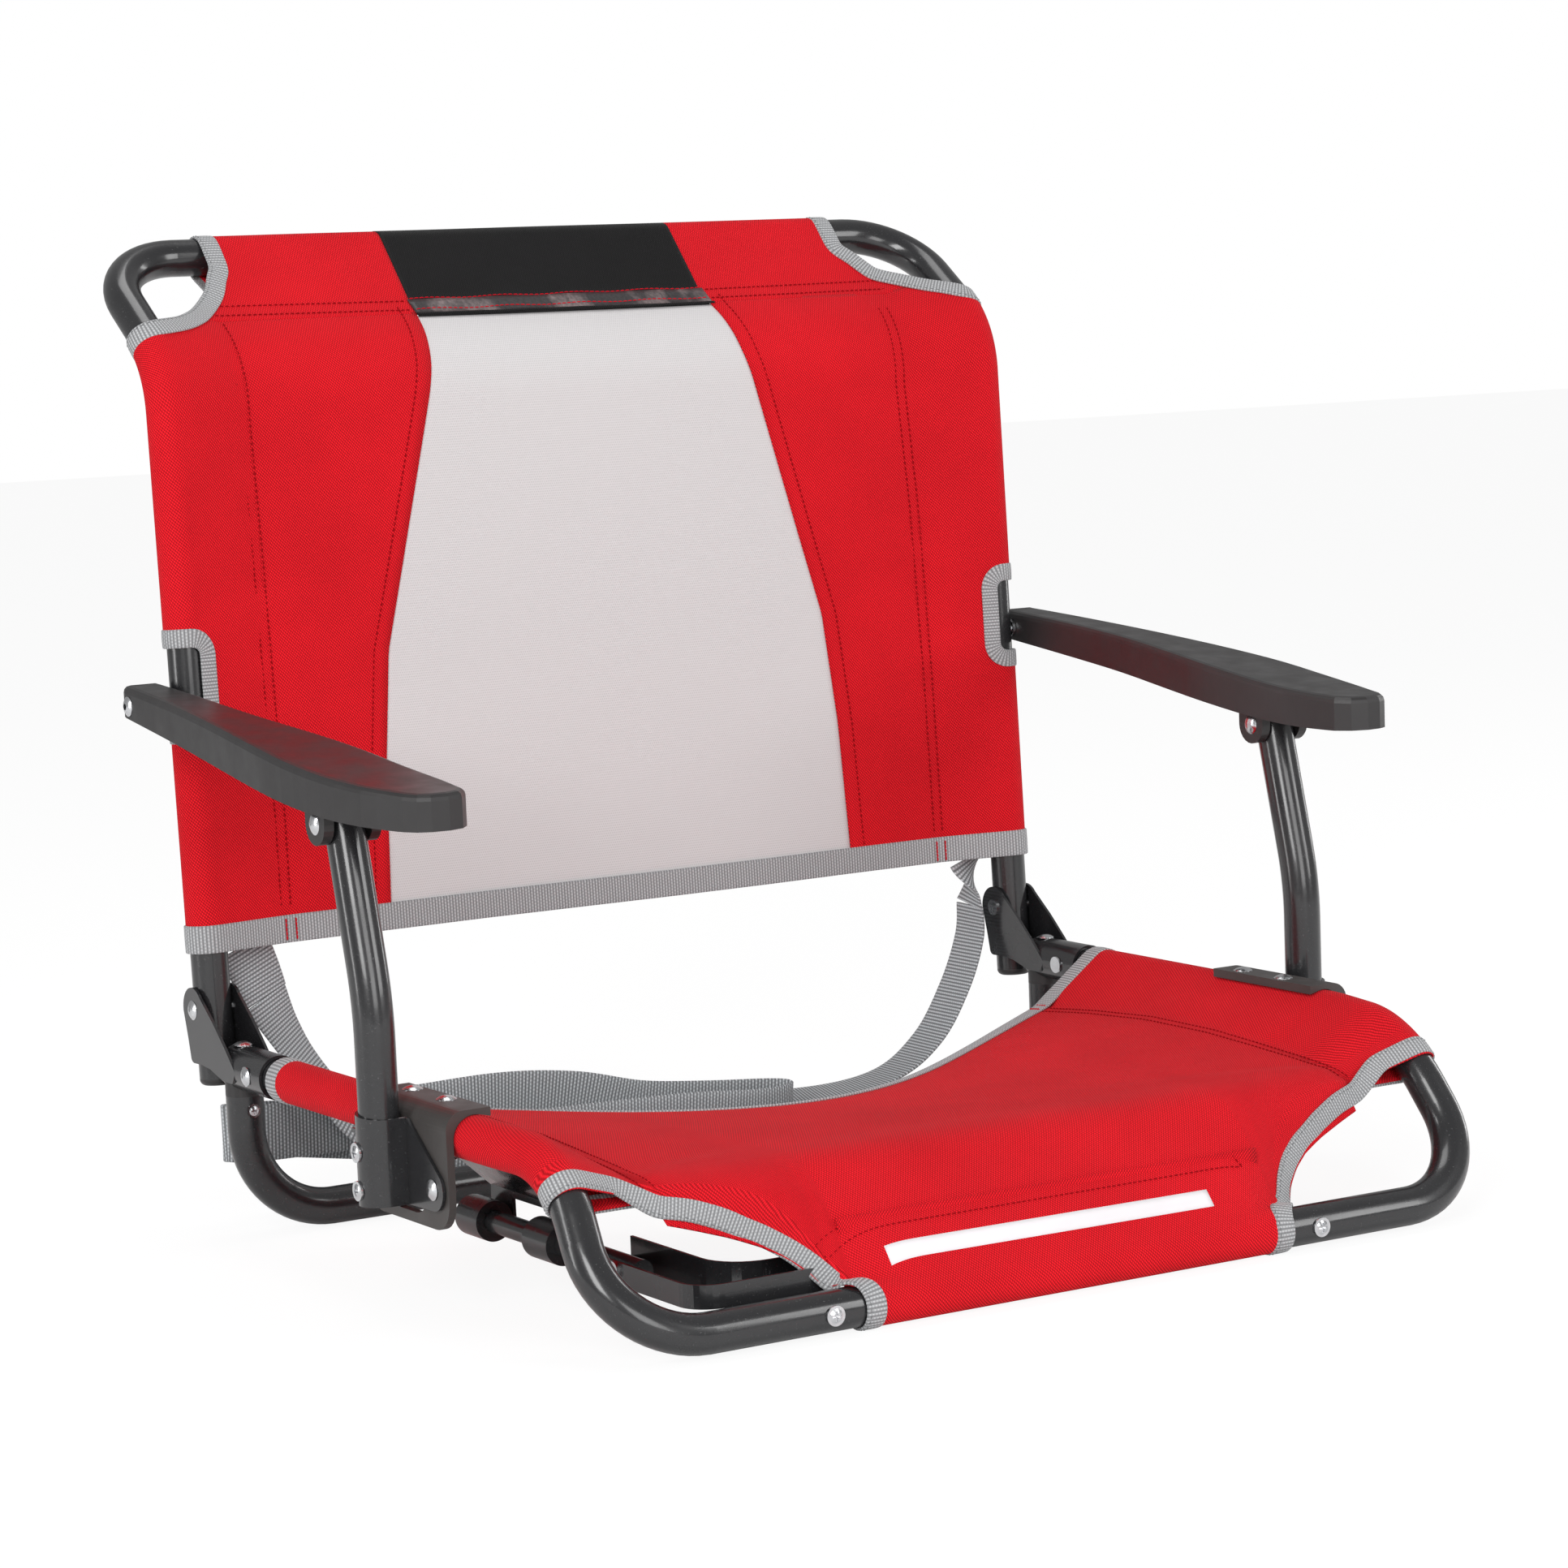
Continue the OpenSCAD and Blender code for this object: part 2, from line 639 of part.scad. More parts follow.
// Plan points: distance from the post's centre line, and share of the length from the rear end
arm_out = spline([[8.2, 0.015], [12.2, 0.215], [16.2, 0.367], [21.2, 0.545], [23.2, 0.67], [21.2, 0.784], [16.2, 0.882],
    [9, 0.966]], 3);
arm_in = spline([[-12.9, 0.015], [-13.2, 0.225], [-14.8, 0.367], [-19.8, 0.508], [-23.8, 0.63], [-25.8, 0.77],
    [-25.8, 0.882], [-22.5, 0.968]], 3);
arm_plan = concat(
    [[4.2, 0], [7.3, 0.004]], arm_out, [[5.2, 0.987], [-0.5, 0.997]],
    flip(concat([[-8.9, 0], [-12, 0.004]], arm_in, [[-17, 0.99], [-9, 1]])));

function arm_point(i) = [post_x + arm_plan[i].x, arm_rear_y - arm_plan[i].y * arm_l];
function arm_inward(i) =
    let (n = len(arm_plan), d = arm_point((i + 1) % n) - arm_point((i + n - 1) % n))
    [d.y, -d.x] / norm(d);

// Ring of the shell, moved in from the plan's edge; top is its height as a share of the side less a drop
function arm_ring(inset, share, drop) = [for (i = [0:len(arm_plan) - 1])
    let (p = arm_point(i), q = p + arm_inward(i) * inset)
    [q.x, q.y, arm_foot(p.y) + share * arm_side(p.y) - drop]];

module arm_shell() {
    r = arm_edge_r;
    skin([
        arm_ring(arm_wall, 1, arm_wall),
        arm_ring(arm_wall, 0, 0),
        arm_ring(0, 0, 0),
        arm_ring(0, 1, r),
        arm_ring(r * (1 - cos(30)), 1, r * (1 - sin(30))),
        arm_ring(r * (1 - cos(60)), 1, r * (1 - sin(60))),
        arm_ring(r, 1, 0)
    ]);
}

module arm_lugs() {
    roof = arm_foot(lug_pivot_y) + arm_side(lug_pivot_y) - arm_wall / 2;
    half = lug_w / 2;
    for (x = [post_x - tube_r - lug_gap - lug_t, post_x + tube_r + lug_gap]) {
        along_x(x, x + lug_t) polygon(concat(
            [[lug_pivot_y + half, roof], [lug_pivot_y - half, roof]],
            arc([lug_pivot_y, lug_pivot_z], half, 180, 360, 12)));
    }
}

module armrest() {
    boss_r = pin_r + 3;
    color(plastic) difference() {
        union() {
            arm_shell();
            arm_lugs();
            bore_x(arm_pivot_y, arm_pivot_z, boss_r, post_x - 12.9 + arm_wall / 2, post_x + 8.4 - arm_wall / 2);
        }
        bore_x(arm_pivot_y, arm_pivot_z, hole_r, post_x - tube_d, post_x + tube_d);
        bore_x(lug_pivot_y, lug_pivot_z, hole_r, post_x - 2 * tube_d, post_x + 2 * tube_d);
    }
}

// Rear pivot: a tubular rivet from inside the back tube to the armrest's outer side
module arm_pivot_rivets() {
    out = post_x + 8.2 + 0.6;
    in = xh - tube_r;
    color(zinc) for (s = [-1, 1]) on_side(s) {
        difference() {
            union() {
                translate([out, arm_pivot_y, arm_pivot_z]) rotate([0, 90, 0]) rivet(out - in);
                bore_x(arm_pivot_y, arm_pivot_z, head_r, xh + tube_r + 0.1, post_x - 13.3);
            }
            bore_x(arm_pivot_y, arm_pivot_z, pin_r * 0.55, out - 6, out + head_h + 1);
        }
    }
}

// The front pivot is open: each lug carries its own end of the rivet
module lug_rivets() {
    shank = lug_t - 0.05;
    out = tube_r + lug_gap + lug_t;
    color(zinc) for (d = [-1, 1]) {
        translate([post_x + d * out, lug_pivot_y, lug_pivot_z]) rotate([0, d * 90, 0]) rivet(shank, false);
    }
}

// Back frame
module back_tube() {
    foot = [xh, back_y(hinge_z - back_tail), hinge_z - back_tail];
    color(black) difference() {
        bent_tube(
            mirrored([foot, [xh, kink_y, kink_z], [xh, top_y, top_z]]),
            [kink_r, top_corner_r, top_corner_r, kink_r]);
        for (s = [-1, 1]) {
            bore_x(hinge_y, hinge_z, hole_r, s * xh - tube_d, s * xh + tube_d);
            bore_x(arm_pivot_y, arm_pivot_z, hole_r, s * xh - tube_d, s * xh + tube_d);
        }
    }
}

module back_end_caps() {
    color(plastic) for (s = [-1, 1]) {
        translate([s * xh, back_y(hinge_z - back_tail), hinge_z - back_tail]) rotate([-back_lean, 0, 0]) {
            translate([0, 0, -cap_t]) rotate_extrude() polygon(concat(
                [[0, 0]],
                arc([tube_r - 3, 3], 3, -90, 0, 5),
                [[tube_r, cap_t], [tube_bore / 2 - 0.1, cap_t], [tube_bore / 2 - 0.1, cap_t + 12], [0, cap_t + 12]]));
        }
    }
}

// Sleeve round a tube: from the seam over the near side, round the tube and back to the seam
// Points are distances outwards and towards the near side, from the tube's centre line
function sleeve(r, tail) =
    let (a = 90 + asin(r / seam_in))
    concat(tail, [[-seam_in, 0]], arc([0, 0], r, a, -a, 12), [[-seam_in + 4, -1.05 * binding_t]]);

// Half width of the mesh at a height
mesh_edge = [[155, 143], [225, 140], [285, 134], [330, 122], [395, 105], [430, 96], [456, 91]];
function mesh_x(z) = lookup(z, [for (e = mesh_edge) [e.x, e.y]]);

// The panel follows the tube round the kink: its lean and depth at a height
top_lean = atan2(top_bar_dy, top_bar_dz);
kink_cut = kink_r * tan((top_lean - back_lean) / 2);
kink_z0 = kink_z - kink_cut * cos(back_lean);
kink_z1 = kink_z + kink_cut * cos(top_lean);
kink_mid = [back_y(kink_z0) + kink_r * cos(back_lean), kink_z0 - kink_r * sin(back_lean)];
function lean_at(z) = z <= kink_z0 ? back_lean : z >= kink_z1 ? top_lean : asin((z - kink_mid[1]) / kink_r);
function panel_y(z) = z <= kink_z0 ? back_y(z) : z >= kink_z1 ? kink_y + (z - kink_z) * tan(top_lean)
    : kink_mid.x - kink_r * cos(lean_at(z));
kink_steps = 8;
panel_zs = concat([hem_z + hem_h, 190, 225, 255, 285, 307, 330, 362, 395],
    [for (i = [0:kink_steps - 1]) mix(kink_z0, side_sleeve_z - binding_w * 0.8, i / kink_steps)]);

// Ring of a side panel at a height: the sleeve and its tail to the mesh, square to the tube
function panel_ring(z, t, tail_x) =
    [for (p = thick(sleeve(sleeve_ri + t / 2, [[tail_x - xh, 0]]), t))
        [xh + p.x, panel_y(z) - p.y * cos(lean_at(z)), z + p.y * sin(lean_at(z))]];

// Outline of the top sleeve, as depth and height, from z0 up and round the top bar
function top_sleeve(t, z0) =
    let (
        r = sleeve_ri + t / 2,
        seam = [panel_y(top_seam_z), top_seam_z],
        bar = [top_y, top_z],
        d = norm(bar - seam),
        line = atan2(bar.y - seam.y, bar.x - seam.x),
        a = 90 + asin(r / d)
    )
    thick(concat([[panel_y(z0), z0], seam], arc(bar, r, line + a, line - a, 9), [seam + [1.4, -1] * binding_t]), t);

module arm_slot() {
    r = 12;
    translate([0, hinge_y - 3 * tube_d, 0]) rotate([-90, 0, 0]) linear_extrude(6 * tube_d) polygon(concat(
        [[xh + tube_d, -arm_slot_z0], [xh - 8 + r, -arm_slot_z0]],
        arc([xh - 8 + r, -arm_slot_z0 - r], r, 90, 180, 6),
        arc([xh - 8 + r, -arm_slot_z1 + r], r, 180, 270, 6),
        [[xh + tube_d, -arm_slot_z1]]));
}

module back_panel() {
    top_end = top_sleeve_x - binding_w;
    side_end = side_sleeve_z - binding_w * 0.8;
    color(red) {
        difference() {
            skin([for (z = concat(panel_zs, [side_end])) panel_ring(z, cloth_t, mesh_x(z))]);
            arm_slot();
        }
        along_x(band_x, top_end) polygon(top_sleeve(cloth_t, side_end));
    }
}

module back_mesh() {
    side_end = side_sleeve_z - binding_w * 0.8;
    color(pale) skin([for (z = concat(panel_zs, [side_end - 0.1, side_end, 456]))
        let (x = (z < side_end ? mesh_x(z) : band_x) - 0.05, y = panel_y(z),
            h = cloth_t * 0.4 * [cos(lean_at(z)), -sin(lean_at(z))])
        [[-x, y - h.x, z - h.y], [x, y - h.x, z - h.y], [x, y + h.x, z + h.y], [-x, y + h.x, z + h.y]]]);
}

module back_top_band() {
    color([0.12, 0.12, 0.13]) along_x(-band_x + 0.05, band_x - 0.05) polygon(top_sleeve(cloth_t, 456.1));
}

module back_hem_binding() {
    half = [for (p = sleeve(sleeve_ri + binding_t / 2, [])) [xh + p.x, -p.y]];
    line = concat([for (p = flip(half)) [-p.x, p.y]], half);
    color(grey) skin([for (z = [hem_z, hem_z + hem_h - edge_gap]) [for (p = thick(line, binding_t))
        [p.x, back_y(z) + p.y * cos(back_lean), z - p.y * sin(back_lean)]]]);
}

module back_corner_bindings() {
    side_end = side_sleeve_z - binding_w * 0.8;
    color(grey) for (s = [-1, 1]) on_side(s) {
        skin([for (z = [side_end, side_sleeve_z]) panel_ring(z, binding_t, top_sleeve_x - binding_w)]);
        along_x(top_sleeve_x - binding_w, top_sleeve_x) polygon(top_sleeve(binding_t, side_sleeve_z));
    }
}

// Seat sling: a sheet between the rails that follows their bends and runs over the front bar
front_slope = atan2(turn_point.z - corner_point.z, turn_point.y - corner_point.y);
front_up = [-sin(front_slope), cos(front_slope)];
front_back = [cos(front_slope), sin(front_slope)];
front_bar = [front_bar_y, front_bar_z];
sheet_r = sleeve_ri + cloth_t / 2;
front_touch = front_bar + sheet_r * front_up;

// Places on the right rail, each as a point and a direction
function bend_stop(a, b, c, r, w) =
    let (d = unit(b - a), e = unit(c - b), n = unit(e - (d * e) * d), o = b - d * r * tan(turn_angle(a, b, c) / 2) + n * r)
    [o - n * r * cos(w) + d * r * sin(w), d * cos(w) + n * sin(w)];
function straight_stop(y) = [[xh, y, rail_z], [0, -1, 0]];
function toe_stop(share) =
    bend_stop(rail_start, toe_point, turn_point, toe_r, turn_angle(rail_start, toe_point, turn_point) * share);
function turn_stop(w) = bend_stop(toe_point, turn_point, corner_point, rail_bend_r, w);
rail_turn = turn_angle(toe_point, turn_point, corner_point);
sleeve_end = turn_stop(sleeve_end_a)[0];
bend_start_y = turn_stop(0)[0].y;

// The rail's height and place across at a depth
rail_line = concat(
    [rail_start, toe_stop(0)[0], toe_stop(0.5)[0], toe_stop(1)[0]],
    [for (i = [0:8]) turn_stop(rail_turn * i / 8)[0]],
    [corner_point, corner_point + tube_d * unit(corner_point - turn_point)]);
function rail_height(y) = lookup(y, [for (p = rail_line) [p.y, p.z]]);
function rail_across(y) = lookup(y, [for (p = rail_line) [p.y, p.x]]);

function share_of(y, y0, y1) = max(0, min(1, (y - y0) / (y1 - y0)));
function ease(t) = t * t * (3 - 2 * t);
function over_bar(y) = ease(share_of(y, bend_start_y, front_touch.x));
function sag_at(x, y) =
    let (across = min(1, abs(x) / (xh - seam_in)), curl = max(0, 1 - (rear_edge(x) - y) / rear_curl_l))
    mix(seat_sag, seat_sag * 0.4, share_of(y, seat_rear_y, rail_bend_y)) * (1 - pow(across, sag_power))
        + rear_curl * curl * curl * (1 - pow(across, 4));
function lift_at(x) = sheet_r / cos(front_slope)
    * (1 - pow(max(0, (abs(x) - front_sleeve_x) / (xh - seam_in - front_sleeve_x)), 2));
function seat_z(x, y) = rail_height(y) - sag_at(x, y) * (1 - over_bar(y)) + lift_at(x) * over_bar(y);
function seat_up(x, y) = unit([seat_z(x - 1, y) - seat_z(x + 1, y), seat_z(x, y - 1) - seat_z(x, y + 1), 2]);
function seat_point(x, y, h) = [x, y, seat_z(x, y)] + h * seat_up(x, y);

// Free edges: the rear one dips in the middle, the front ones run from the rail sleeves to the front sleeve
function rear_edge(x) = mix(seat_dip_y, seat_rear_y, pow(min(1, abs(x) / (xh - 4)), 2.6));
front_end_x = sleeve_end.x - seam_in;
function corner_x(v, inset) = mix(front_sleeve_x - inset, front_end_x, pow(v, 1 / corner_power));
function corner_y(v, inset) = mix(front_touch.x, sleeve_end.y + inset, v);

edge_gap = 0.15;
edge_cut = binding_w + edge_gap;
corner_steps = [0, 0.25, 0.5, 0.75, 1];
// Columns of the sheet: place across and depth of the front end; the last one is the seam beside the rail
seat_columns = concat(
    [for (x = [0, 60]) [x, front_touch.x]],
    [for (v = corner_steps) [corner_x(v, edge_cut), corner_y(v, edge_cut)]]);

// Sleeve round the rail at one place: from the seam over the tube and back under the seam
sleeve_steps = 10;
function sleeve_ring(stop, t, h) =
    let (
        side = unit(cross([0, 0, 1], stop[1])),
        up = cross(stop[1], side),
        mid = sleeve_ri + t / 2,
        a = 90 + asin(mid / seam_in),
        r = (mid + h) / cos(a / sleeve_steps)
    )
    concat(
        [for (i = [0:sleeve_steps]) let (w = mix(a, -a, i / sleeve_steps)) stop[0] + r * (cos(w) * side + sin(w) * up)],
        [stop[0] - (seam_in - 4) * side - (1.05 * binding_t + h) * up]);

// One surface of the sheet along a row across the chair, and the closed ring of its two surfaces
function half_row(ys, stop, t, h) =
    let (last = len(seat_columns) - 1)
    concat(
        [for (i = [0:last]) seat_point(i < last ? seat_columns[i].x : rail_across(ys[i]) - seam_in, ys[i], h)],
        sleeve_ring(stop, t, h));
function full_row(half) = concat([for (i = [len(half) - 1:-1:1]) [-half[i].x, half[i].y, half[i].z]], half);
function row_ring(ys, stop, t) =
    concat(full_row(half_row(ys, stop, t, t / 2)), flip(full_row(half_row(ys, stop, t, -t / 2))));
function row_ys(w, f) = [for (c = seat_columns) mix(rear_edge(c.x) - w, c.y, f)];

// Outline of the sleeve on the front bar, as depth and height, from the sheet round the bar to its seam
function front_sleeve(t, flap) =
    let (
        r = sleeve_ri + t / 2,
        seam = front_seam * front_back,
        line = atan2(r * front_up.y + seam.y, r * front_up.x + seam.x),
        touch = 90 + front_slope,
        round = arc(front_bar, r, touch, 360 + 2 * line - touch, 16),
        leave = round[len(round) - 1]
    )
    thick(concat(
        [front_bar + r * front_up + t * front_back],
        round,
        [leave + flap * (front_bar + r * front_up + seam - 1.5 * binding_t * front_up - leave)]), t);

module seat_sling() {
    inner_a = sleeve_end_a - edge_cut / rail_bend_r * 180 / PI;
    stops = concat(
        [for (y = [seat_rear_y - binding_w, 30, -50]) straight_stop(y)],
        [toe_stop(0), toe_stop(0.5), toe_stop(1)],
        [for (i = [0:4]) turn_stop(inner_a * i / 4)]);
    first = stops[0][0].y;
    length = first - stops[len(stops) - 1][0].y;
    color(red) {
        difference() {
            skin([for (stop = stops)
                row_ring(row_ys(binding_w, (first - stop[0].y) / length), stop, cloth_t)]);
            for (s = [-1, 1]) for (y = saddle_rivet_ys) {
                translate([s * saddle_rivet_x, y, rail_z - tube_d])
                    cylinder(r = hole_r + sleeve_gap, h = 2 * tube_d, $fn = 12);
            }
        }
        along_x(edge_cut - front_sleeve_x, front_sleeve_x - edge_cut) polygon(front_sleeve(cloth_t, 1));
    }
}

module seat_rear_binding() {
    color(grey) skin([for (w = [0, binding_w - edge_gap])
        row_ring(row_ys(w, 0), straight_stop(seat_rear_y - w), binding_t)]);
}

// Ribbon along a free edge: each ring has the edge and a line beside it, on both surfaces
function ribbon_ring(edge, inner) = [edge[0], inner[0], inner[1], edge[1]];
function ribbon_x(x, p, q) = [[x, p.x, p.y], [x, q.x, q.y]];

module seat_corner_bindings() {
    h = binding_t / 2;
    // the tape lies with its lower side in line with the cloth's
    rise = (binding_t - cloth_t) / 2;
    sides = [rise + h, rise - h];
    bar_line = front_sleeve(binding_t, 0.6);
    n = len(bar_line);
    end_stop = turn_stop(sleeve_end_a);
    inner_stop = turn_stop(sleeve_end_a - binding_w / rail_bend_r * 180 / PI);
    outer_top = sleeve_ring(end_stop, binding_t, h);
    outer_low = sleeve_ring(end_stop, binding_t, -h);
    inner_top = sleeve_ring(inner_stop, binding_t, h);
    inner_low = sleeve_ring(inner_stop, binding_t, -h);
    round_bar = [for (i = [n / 2 - 1:-1:2]) ribbon_ring(
        ribbon_x(front_sleeve_x, bar_line[n - 1 - i], bar_line[i]),
        ribbon_x(front_sleeve_x - binding_w, bar_line[n - 1 - i], bar_line[i]))];
    on_sheet = [for (v = corner_steps) ribbon_ring(
        [for (k = sides) seat_point(corner_x(v, 0), corner_y(v, 0), k)],
        [for (k = sides) seat_point(corner_x(v, binding_w), corner_y(v, binding_w), k)])];
    round_rail = [for (i = [0:sleeve_steps + 1]) ribbon_ring([outer_top[i], outer_low[i]], [inner_top[i], inner_low[i]])];
    color(grey) for (s = [-1, 1]) on_side(s) {
        skin(concat(round_bar, on_sheet, round_rail));
    }
}

// Bench hook: a rod that turns in two collars and carries an L of pressed channel
rod_r = rod_d / 2;
channel_x0 = hook_x - rod_r - 0.3 - channel_t;
channel_z0 = hook_z - rod_r - 0.3 - channel_t;
channel_y1 = -102;
hook_leg_y0 = -218;
hook_leg_y1 = -188;
collar_ys = [[-84, -60], [-14, 8]];
hanger_gap = 0.05;
hanger_z = rail_z - sleeve_ro - 0.3;
hook_rivet_y = -146;

module hook_hanger() {
    inner_x = hook_x + collar_d / 2 + hanger_t / 2 + hanger_gap;
    line = [[-xh - 6, hanger_z - hanger_t / 2], [-xh + 28, hanger_z - hanger_t / 2],
        [inner_x, hook_z + 14], [inner_x, hook_z - 4]];
    color(black) difference() {
        along_y(collar_ys[0][0], collar_ys[1][1]) polygon(thick(line, hanger_t));
        along_x(hook_x, hook_x + collar_d) translate([collar_ys[0][1], 0])
            square([collar_ys[1][0] - collar_ys[0][1], hook_z + 10]);
        for (y = saddle_rivet_ys) {
            translate([-saddle_rivet_x, y, 0]) cylinder(r = hole_r, h = rail_z);
        }
    }
}

module hook_collars() {
    color(black) for (y = collar_ys) {
        translate([hook_x, y[0], hook_z]) rotate([-90, 0, 0]) linear_extrude(y[1] - y[0])
            ring(collar_d, rod_d + 2 * pin_fit);
    }
}

module hook_rod() {
    rear = collar_ys[1][1] + 0.4;
    color(black) difference() {
        union() {
            translate([hook_x, hook_rivet_y - 12, hook_z]) rotate([-90, 0, 0]) cylinder(r = rod_r, h = rear - hook_rivet_y + 14);
            translate([hook_x, rear, hook_z]) rotate([-90, 0, 0]) cylinder(r = rod_r + 2, h = 3);
        }
        bore_x(hook_rivet_y, hook_z, 2 + pin_fit, hook_x - rod_d, hook_x + rod_d);
    }
}

// Plan of the channel at an inset from its edge, with a round inner corner
module channel_plan(inset) {
    x0 = channel_x0 + inset;
    x1 = channel_x0 + channel_w - inset;
    corner = 22 + inset;
    tip = channel_w / 2 - inset - 2;
    polygon(concat(
        [[x0, channel_y1], [x1, channel_y1]],
        arc([x1 + corner, hook_leg_y1 + corner - inset], corner, 180, 270, 8),
        [[hook_tip_x - inset, hook_leg_y1 - inset], [hook_tip_x - inset, hook_leg_y0 + inset]],
        arc([x0 + tip, hook_leg_y0 + inset + tip], tip, 270, 180, 8)));
}

module hook_channel() {
    color(black) difference() {
        translate([0, 0, channel_z0]) linear_extrude(channel_h) channel_plan(0);
        translate([0, 0, channel_z0 + channel_t]) linear_extrude(channel_h) union() {
            channel_plan(channel_t);
            translate([channel_x0 + channel_t, channel_y1 - 1]) square([channel_w - 2 * channel_t, 2]);
        }
        bore_x(hook_rivet_y, hook_z, 2 + pin_fit, channel_x0 - 1, channel_x0 + 3);
    }
}

module hook_rivets() {
    floor_z = channel_z0 + channel_t;
    color(zinc) {
        bore_x(hook_rivet_y, hook_z, 2, channel_x0 - 0.5, hook_x + rod_r);
        bore_x(hook_rivet_y, hook_z, 4, channel_x0 - 1.8, channel_x0);
        for (x = [-148, -133]) {
            translate([x, (hook_leg_y0 + hook_leg_y1) / 2, floor_z]) cylinder(r = 4.5, h = 1.8);
        }
    }
}

// Carrying strap: its two ends are sewn to the hem, and the loop hangs down behind the seat in an S
// Each point is a place on the strap's middle, with its share of the half width across,
// and the direction of its width: turned to the rear and raised, in degrees
strap_half = xh - 15;
strap_split = 113;
split_gap = 0.4;
strap_top = hem_z - 0.7;
strap_left = [[-0.967, 184, strap_top, 0, 0], [-0.941, 184, 127, 8, 0], [-0.919, 184, strap_split + split_gap, 15, 0]];
strap_right = [[0.98, 185, strap_top, 10, 0], [0.998, 189, 127, 60, 0], [0.993, 191, strap_split + split_gap, 85, 0]];
strap_route = [
    [-0.919, 184, strap_split, 15, 0], [-0.889, 182, 97, 30, 5], [-0.845, 178, 78, 45, 15],
    [-0.789, 171, 58, 60, 35], [-0.71, 164, 42, 70, 60], [-0.588, 160, 32, 80, 80],
    [-0.405, 158, 26, 90, 90], [-0.153, 157, 24, 90, 90], [0.087, 157, 22, 90, 90],
    [0.27, 159, 18, 90, 90], [0.375, 164, 17, 90, 90], [0.401, 171, 18, 90, 90], [0.357, 178, 19, 90, 90],
    [0.196, 182, 22, 90, 90], [0.022, 184, 27, 90, 90], [-0.153, 185, 37, 90, 90],
    [-0.349, 185, 42, 90, 90], [-0.61, 183, 42, 90, 90], [-0.828, 181, 43, 90, 90],
    [-0.967, 180, 44, 90, 90], [-1.028, 185, 45, 90, 90], [-1.007, 193, 44, 90, 90],
    [-0.871, 197, 41, 90, 90], [-0.61, 200, 31, 90, 90], [-0.261, 203, 21, 90, 75],
    [0.131, 203, 17, 90, 45], [0.479, 197, 15, 90, 15], [0.719, 192, 22, 90, 0], [0.854, 191, 40, 90, 0],
    [0.941, 191, 68, 90, 0], [0.989, 191, 95, 88, 0], [0.993, 191, strap_split, 85, 0]
];

function strap_ring(p, q, r) =
    let (
        ends = p == q || q == r,
        run = ends ? [0, 0, sign(r.z - p.z)] : unit([r.x - p.x, r.y - p.y, r.z - p.z]),
        want = [cos(q[3]) * cos(q[4]), sin(q[3]) * cos(q[4]), sin(q[4])],
        wide = unit(want - (want * run) * run),
        face = cross(run, wide),
        c = [q.x, q.y, q.z]
    )
    [c - wide * strap_w / 2 - face * strap_t / 2, c + wide * strap_w / 2 - face * strap_t / 2,
        c + wide * strap_w / 2 + face * strap_t / 2, c - wide * strap_w / 2 + face * strap_t / 2];

module strap(route, steps) {
    p = [for (q = spline(route, steps)) [q.x * strap_half, q.y, q.z, q[3], q[4]]];
    n = len(p);
    color(grey) skin([for (i = [0:n - 1]) strap_ring(p[clamp_index(i - 1, n)], p[i], p[clamp_index(i + 1, n)])]);
}

module strap_loop() {
    strap(strap_route, 3);
}

seat_tube();
rear_leg_tube();
leg_plugs();
leg_screws();
front_screws();
on_side(-1) hinge_bracket();  // hinge_bracket_left
on_side(1) hinge_bracket();  // hinge_bracket_right
rail_rivets();
hinge_rivets();
on_side(-1) saddle();  // saddle_left
on_side(1) saddle();  // saddle_right
saddle_rivets();
post_pivot_rivets();
hook_hanger();
hook_collars();
hook_rod();
hook_channel();
hook_rivets();
back_tube();
back_end_caps();
arm_pivot_rivets();
on_side(-1) back_panel();  // back_panel_left
on_side(1) back_panel();  // back_panel_right
back_mesh();
back_top_band();
back_hem_binding();
back_corner_bindings();
on_side(-1) armrest();  // armrest_left
on_side(1) armrest();  // armrest_right
on_side(-1) lug_rivets();  // lug_rivets_left
on_side(1) lug_rivets();  // lug_rivets_right
on_side(-1) post_tube();  // post_tube_left
on_side(1) post_tube();  // post_tube_right
on_side(-1) post_clamp();  // post_clamp_left
on_side(1) post_clamp();  // post_clamp_right
on_side(-1) clamp_screws();  // clamp_screws_left
on_side(1) clamp_screws();  // clamp_screws_right
seat_sling();
seat_rear_binding();
seat_corner_bindings();
strap_loop();
strap(strap_left, 2);  // strap_end_left
strap(strap_right, 2);  // strap_end_right
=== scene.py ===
import bpy
import json
import math
import numpy as np
from mathutils import Matrix, Vector


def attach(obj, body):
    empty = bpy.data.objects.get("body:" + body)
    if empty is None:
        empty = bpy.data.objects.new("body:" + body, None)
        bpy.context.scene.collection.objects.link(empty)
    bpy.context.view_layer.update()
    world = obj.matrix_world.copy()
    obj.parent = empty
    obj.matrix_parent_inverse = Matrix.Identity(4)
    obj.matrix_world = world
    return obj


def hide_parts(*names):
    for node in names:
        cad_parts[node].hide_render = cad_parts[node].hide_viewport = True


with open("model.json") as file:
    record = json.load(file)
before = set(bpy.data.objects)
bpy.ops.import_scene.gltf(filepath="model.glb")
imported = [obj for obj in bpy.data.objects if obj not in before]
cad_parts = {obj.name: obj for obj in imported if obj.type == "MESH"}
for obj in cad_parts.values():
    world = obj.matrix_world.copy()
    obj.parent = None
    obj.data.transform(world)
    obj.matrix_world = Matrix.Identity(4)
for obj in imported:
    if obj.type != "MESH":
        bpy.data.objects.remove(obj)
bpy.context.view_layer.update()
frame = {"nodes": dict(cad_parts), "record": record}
nodes = frame["nodes"]
MM = 0.001
SIDES = (-1, 1)
WHITE = (1.0, 1.0, 1.0)


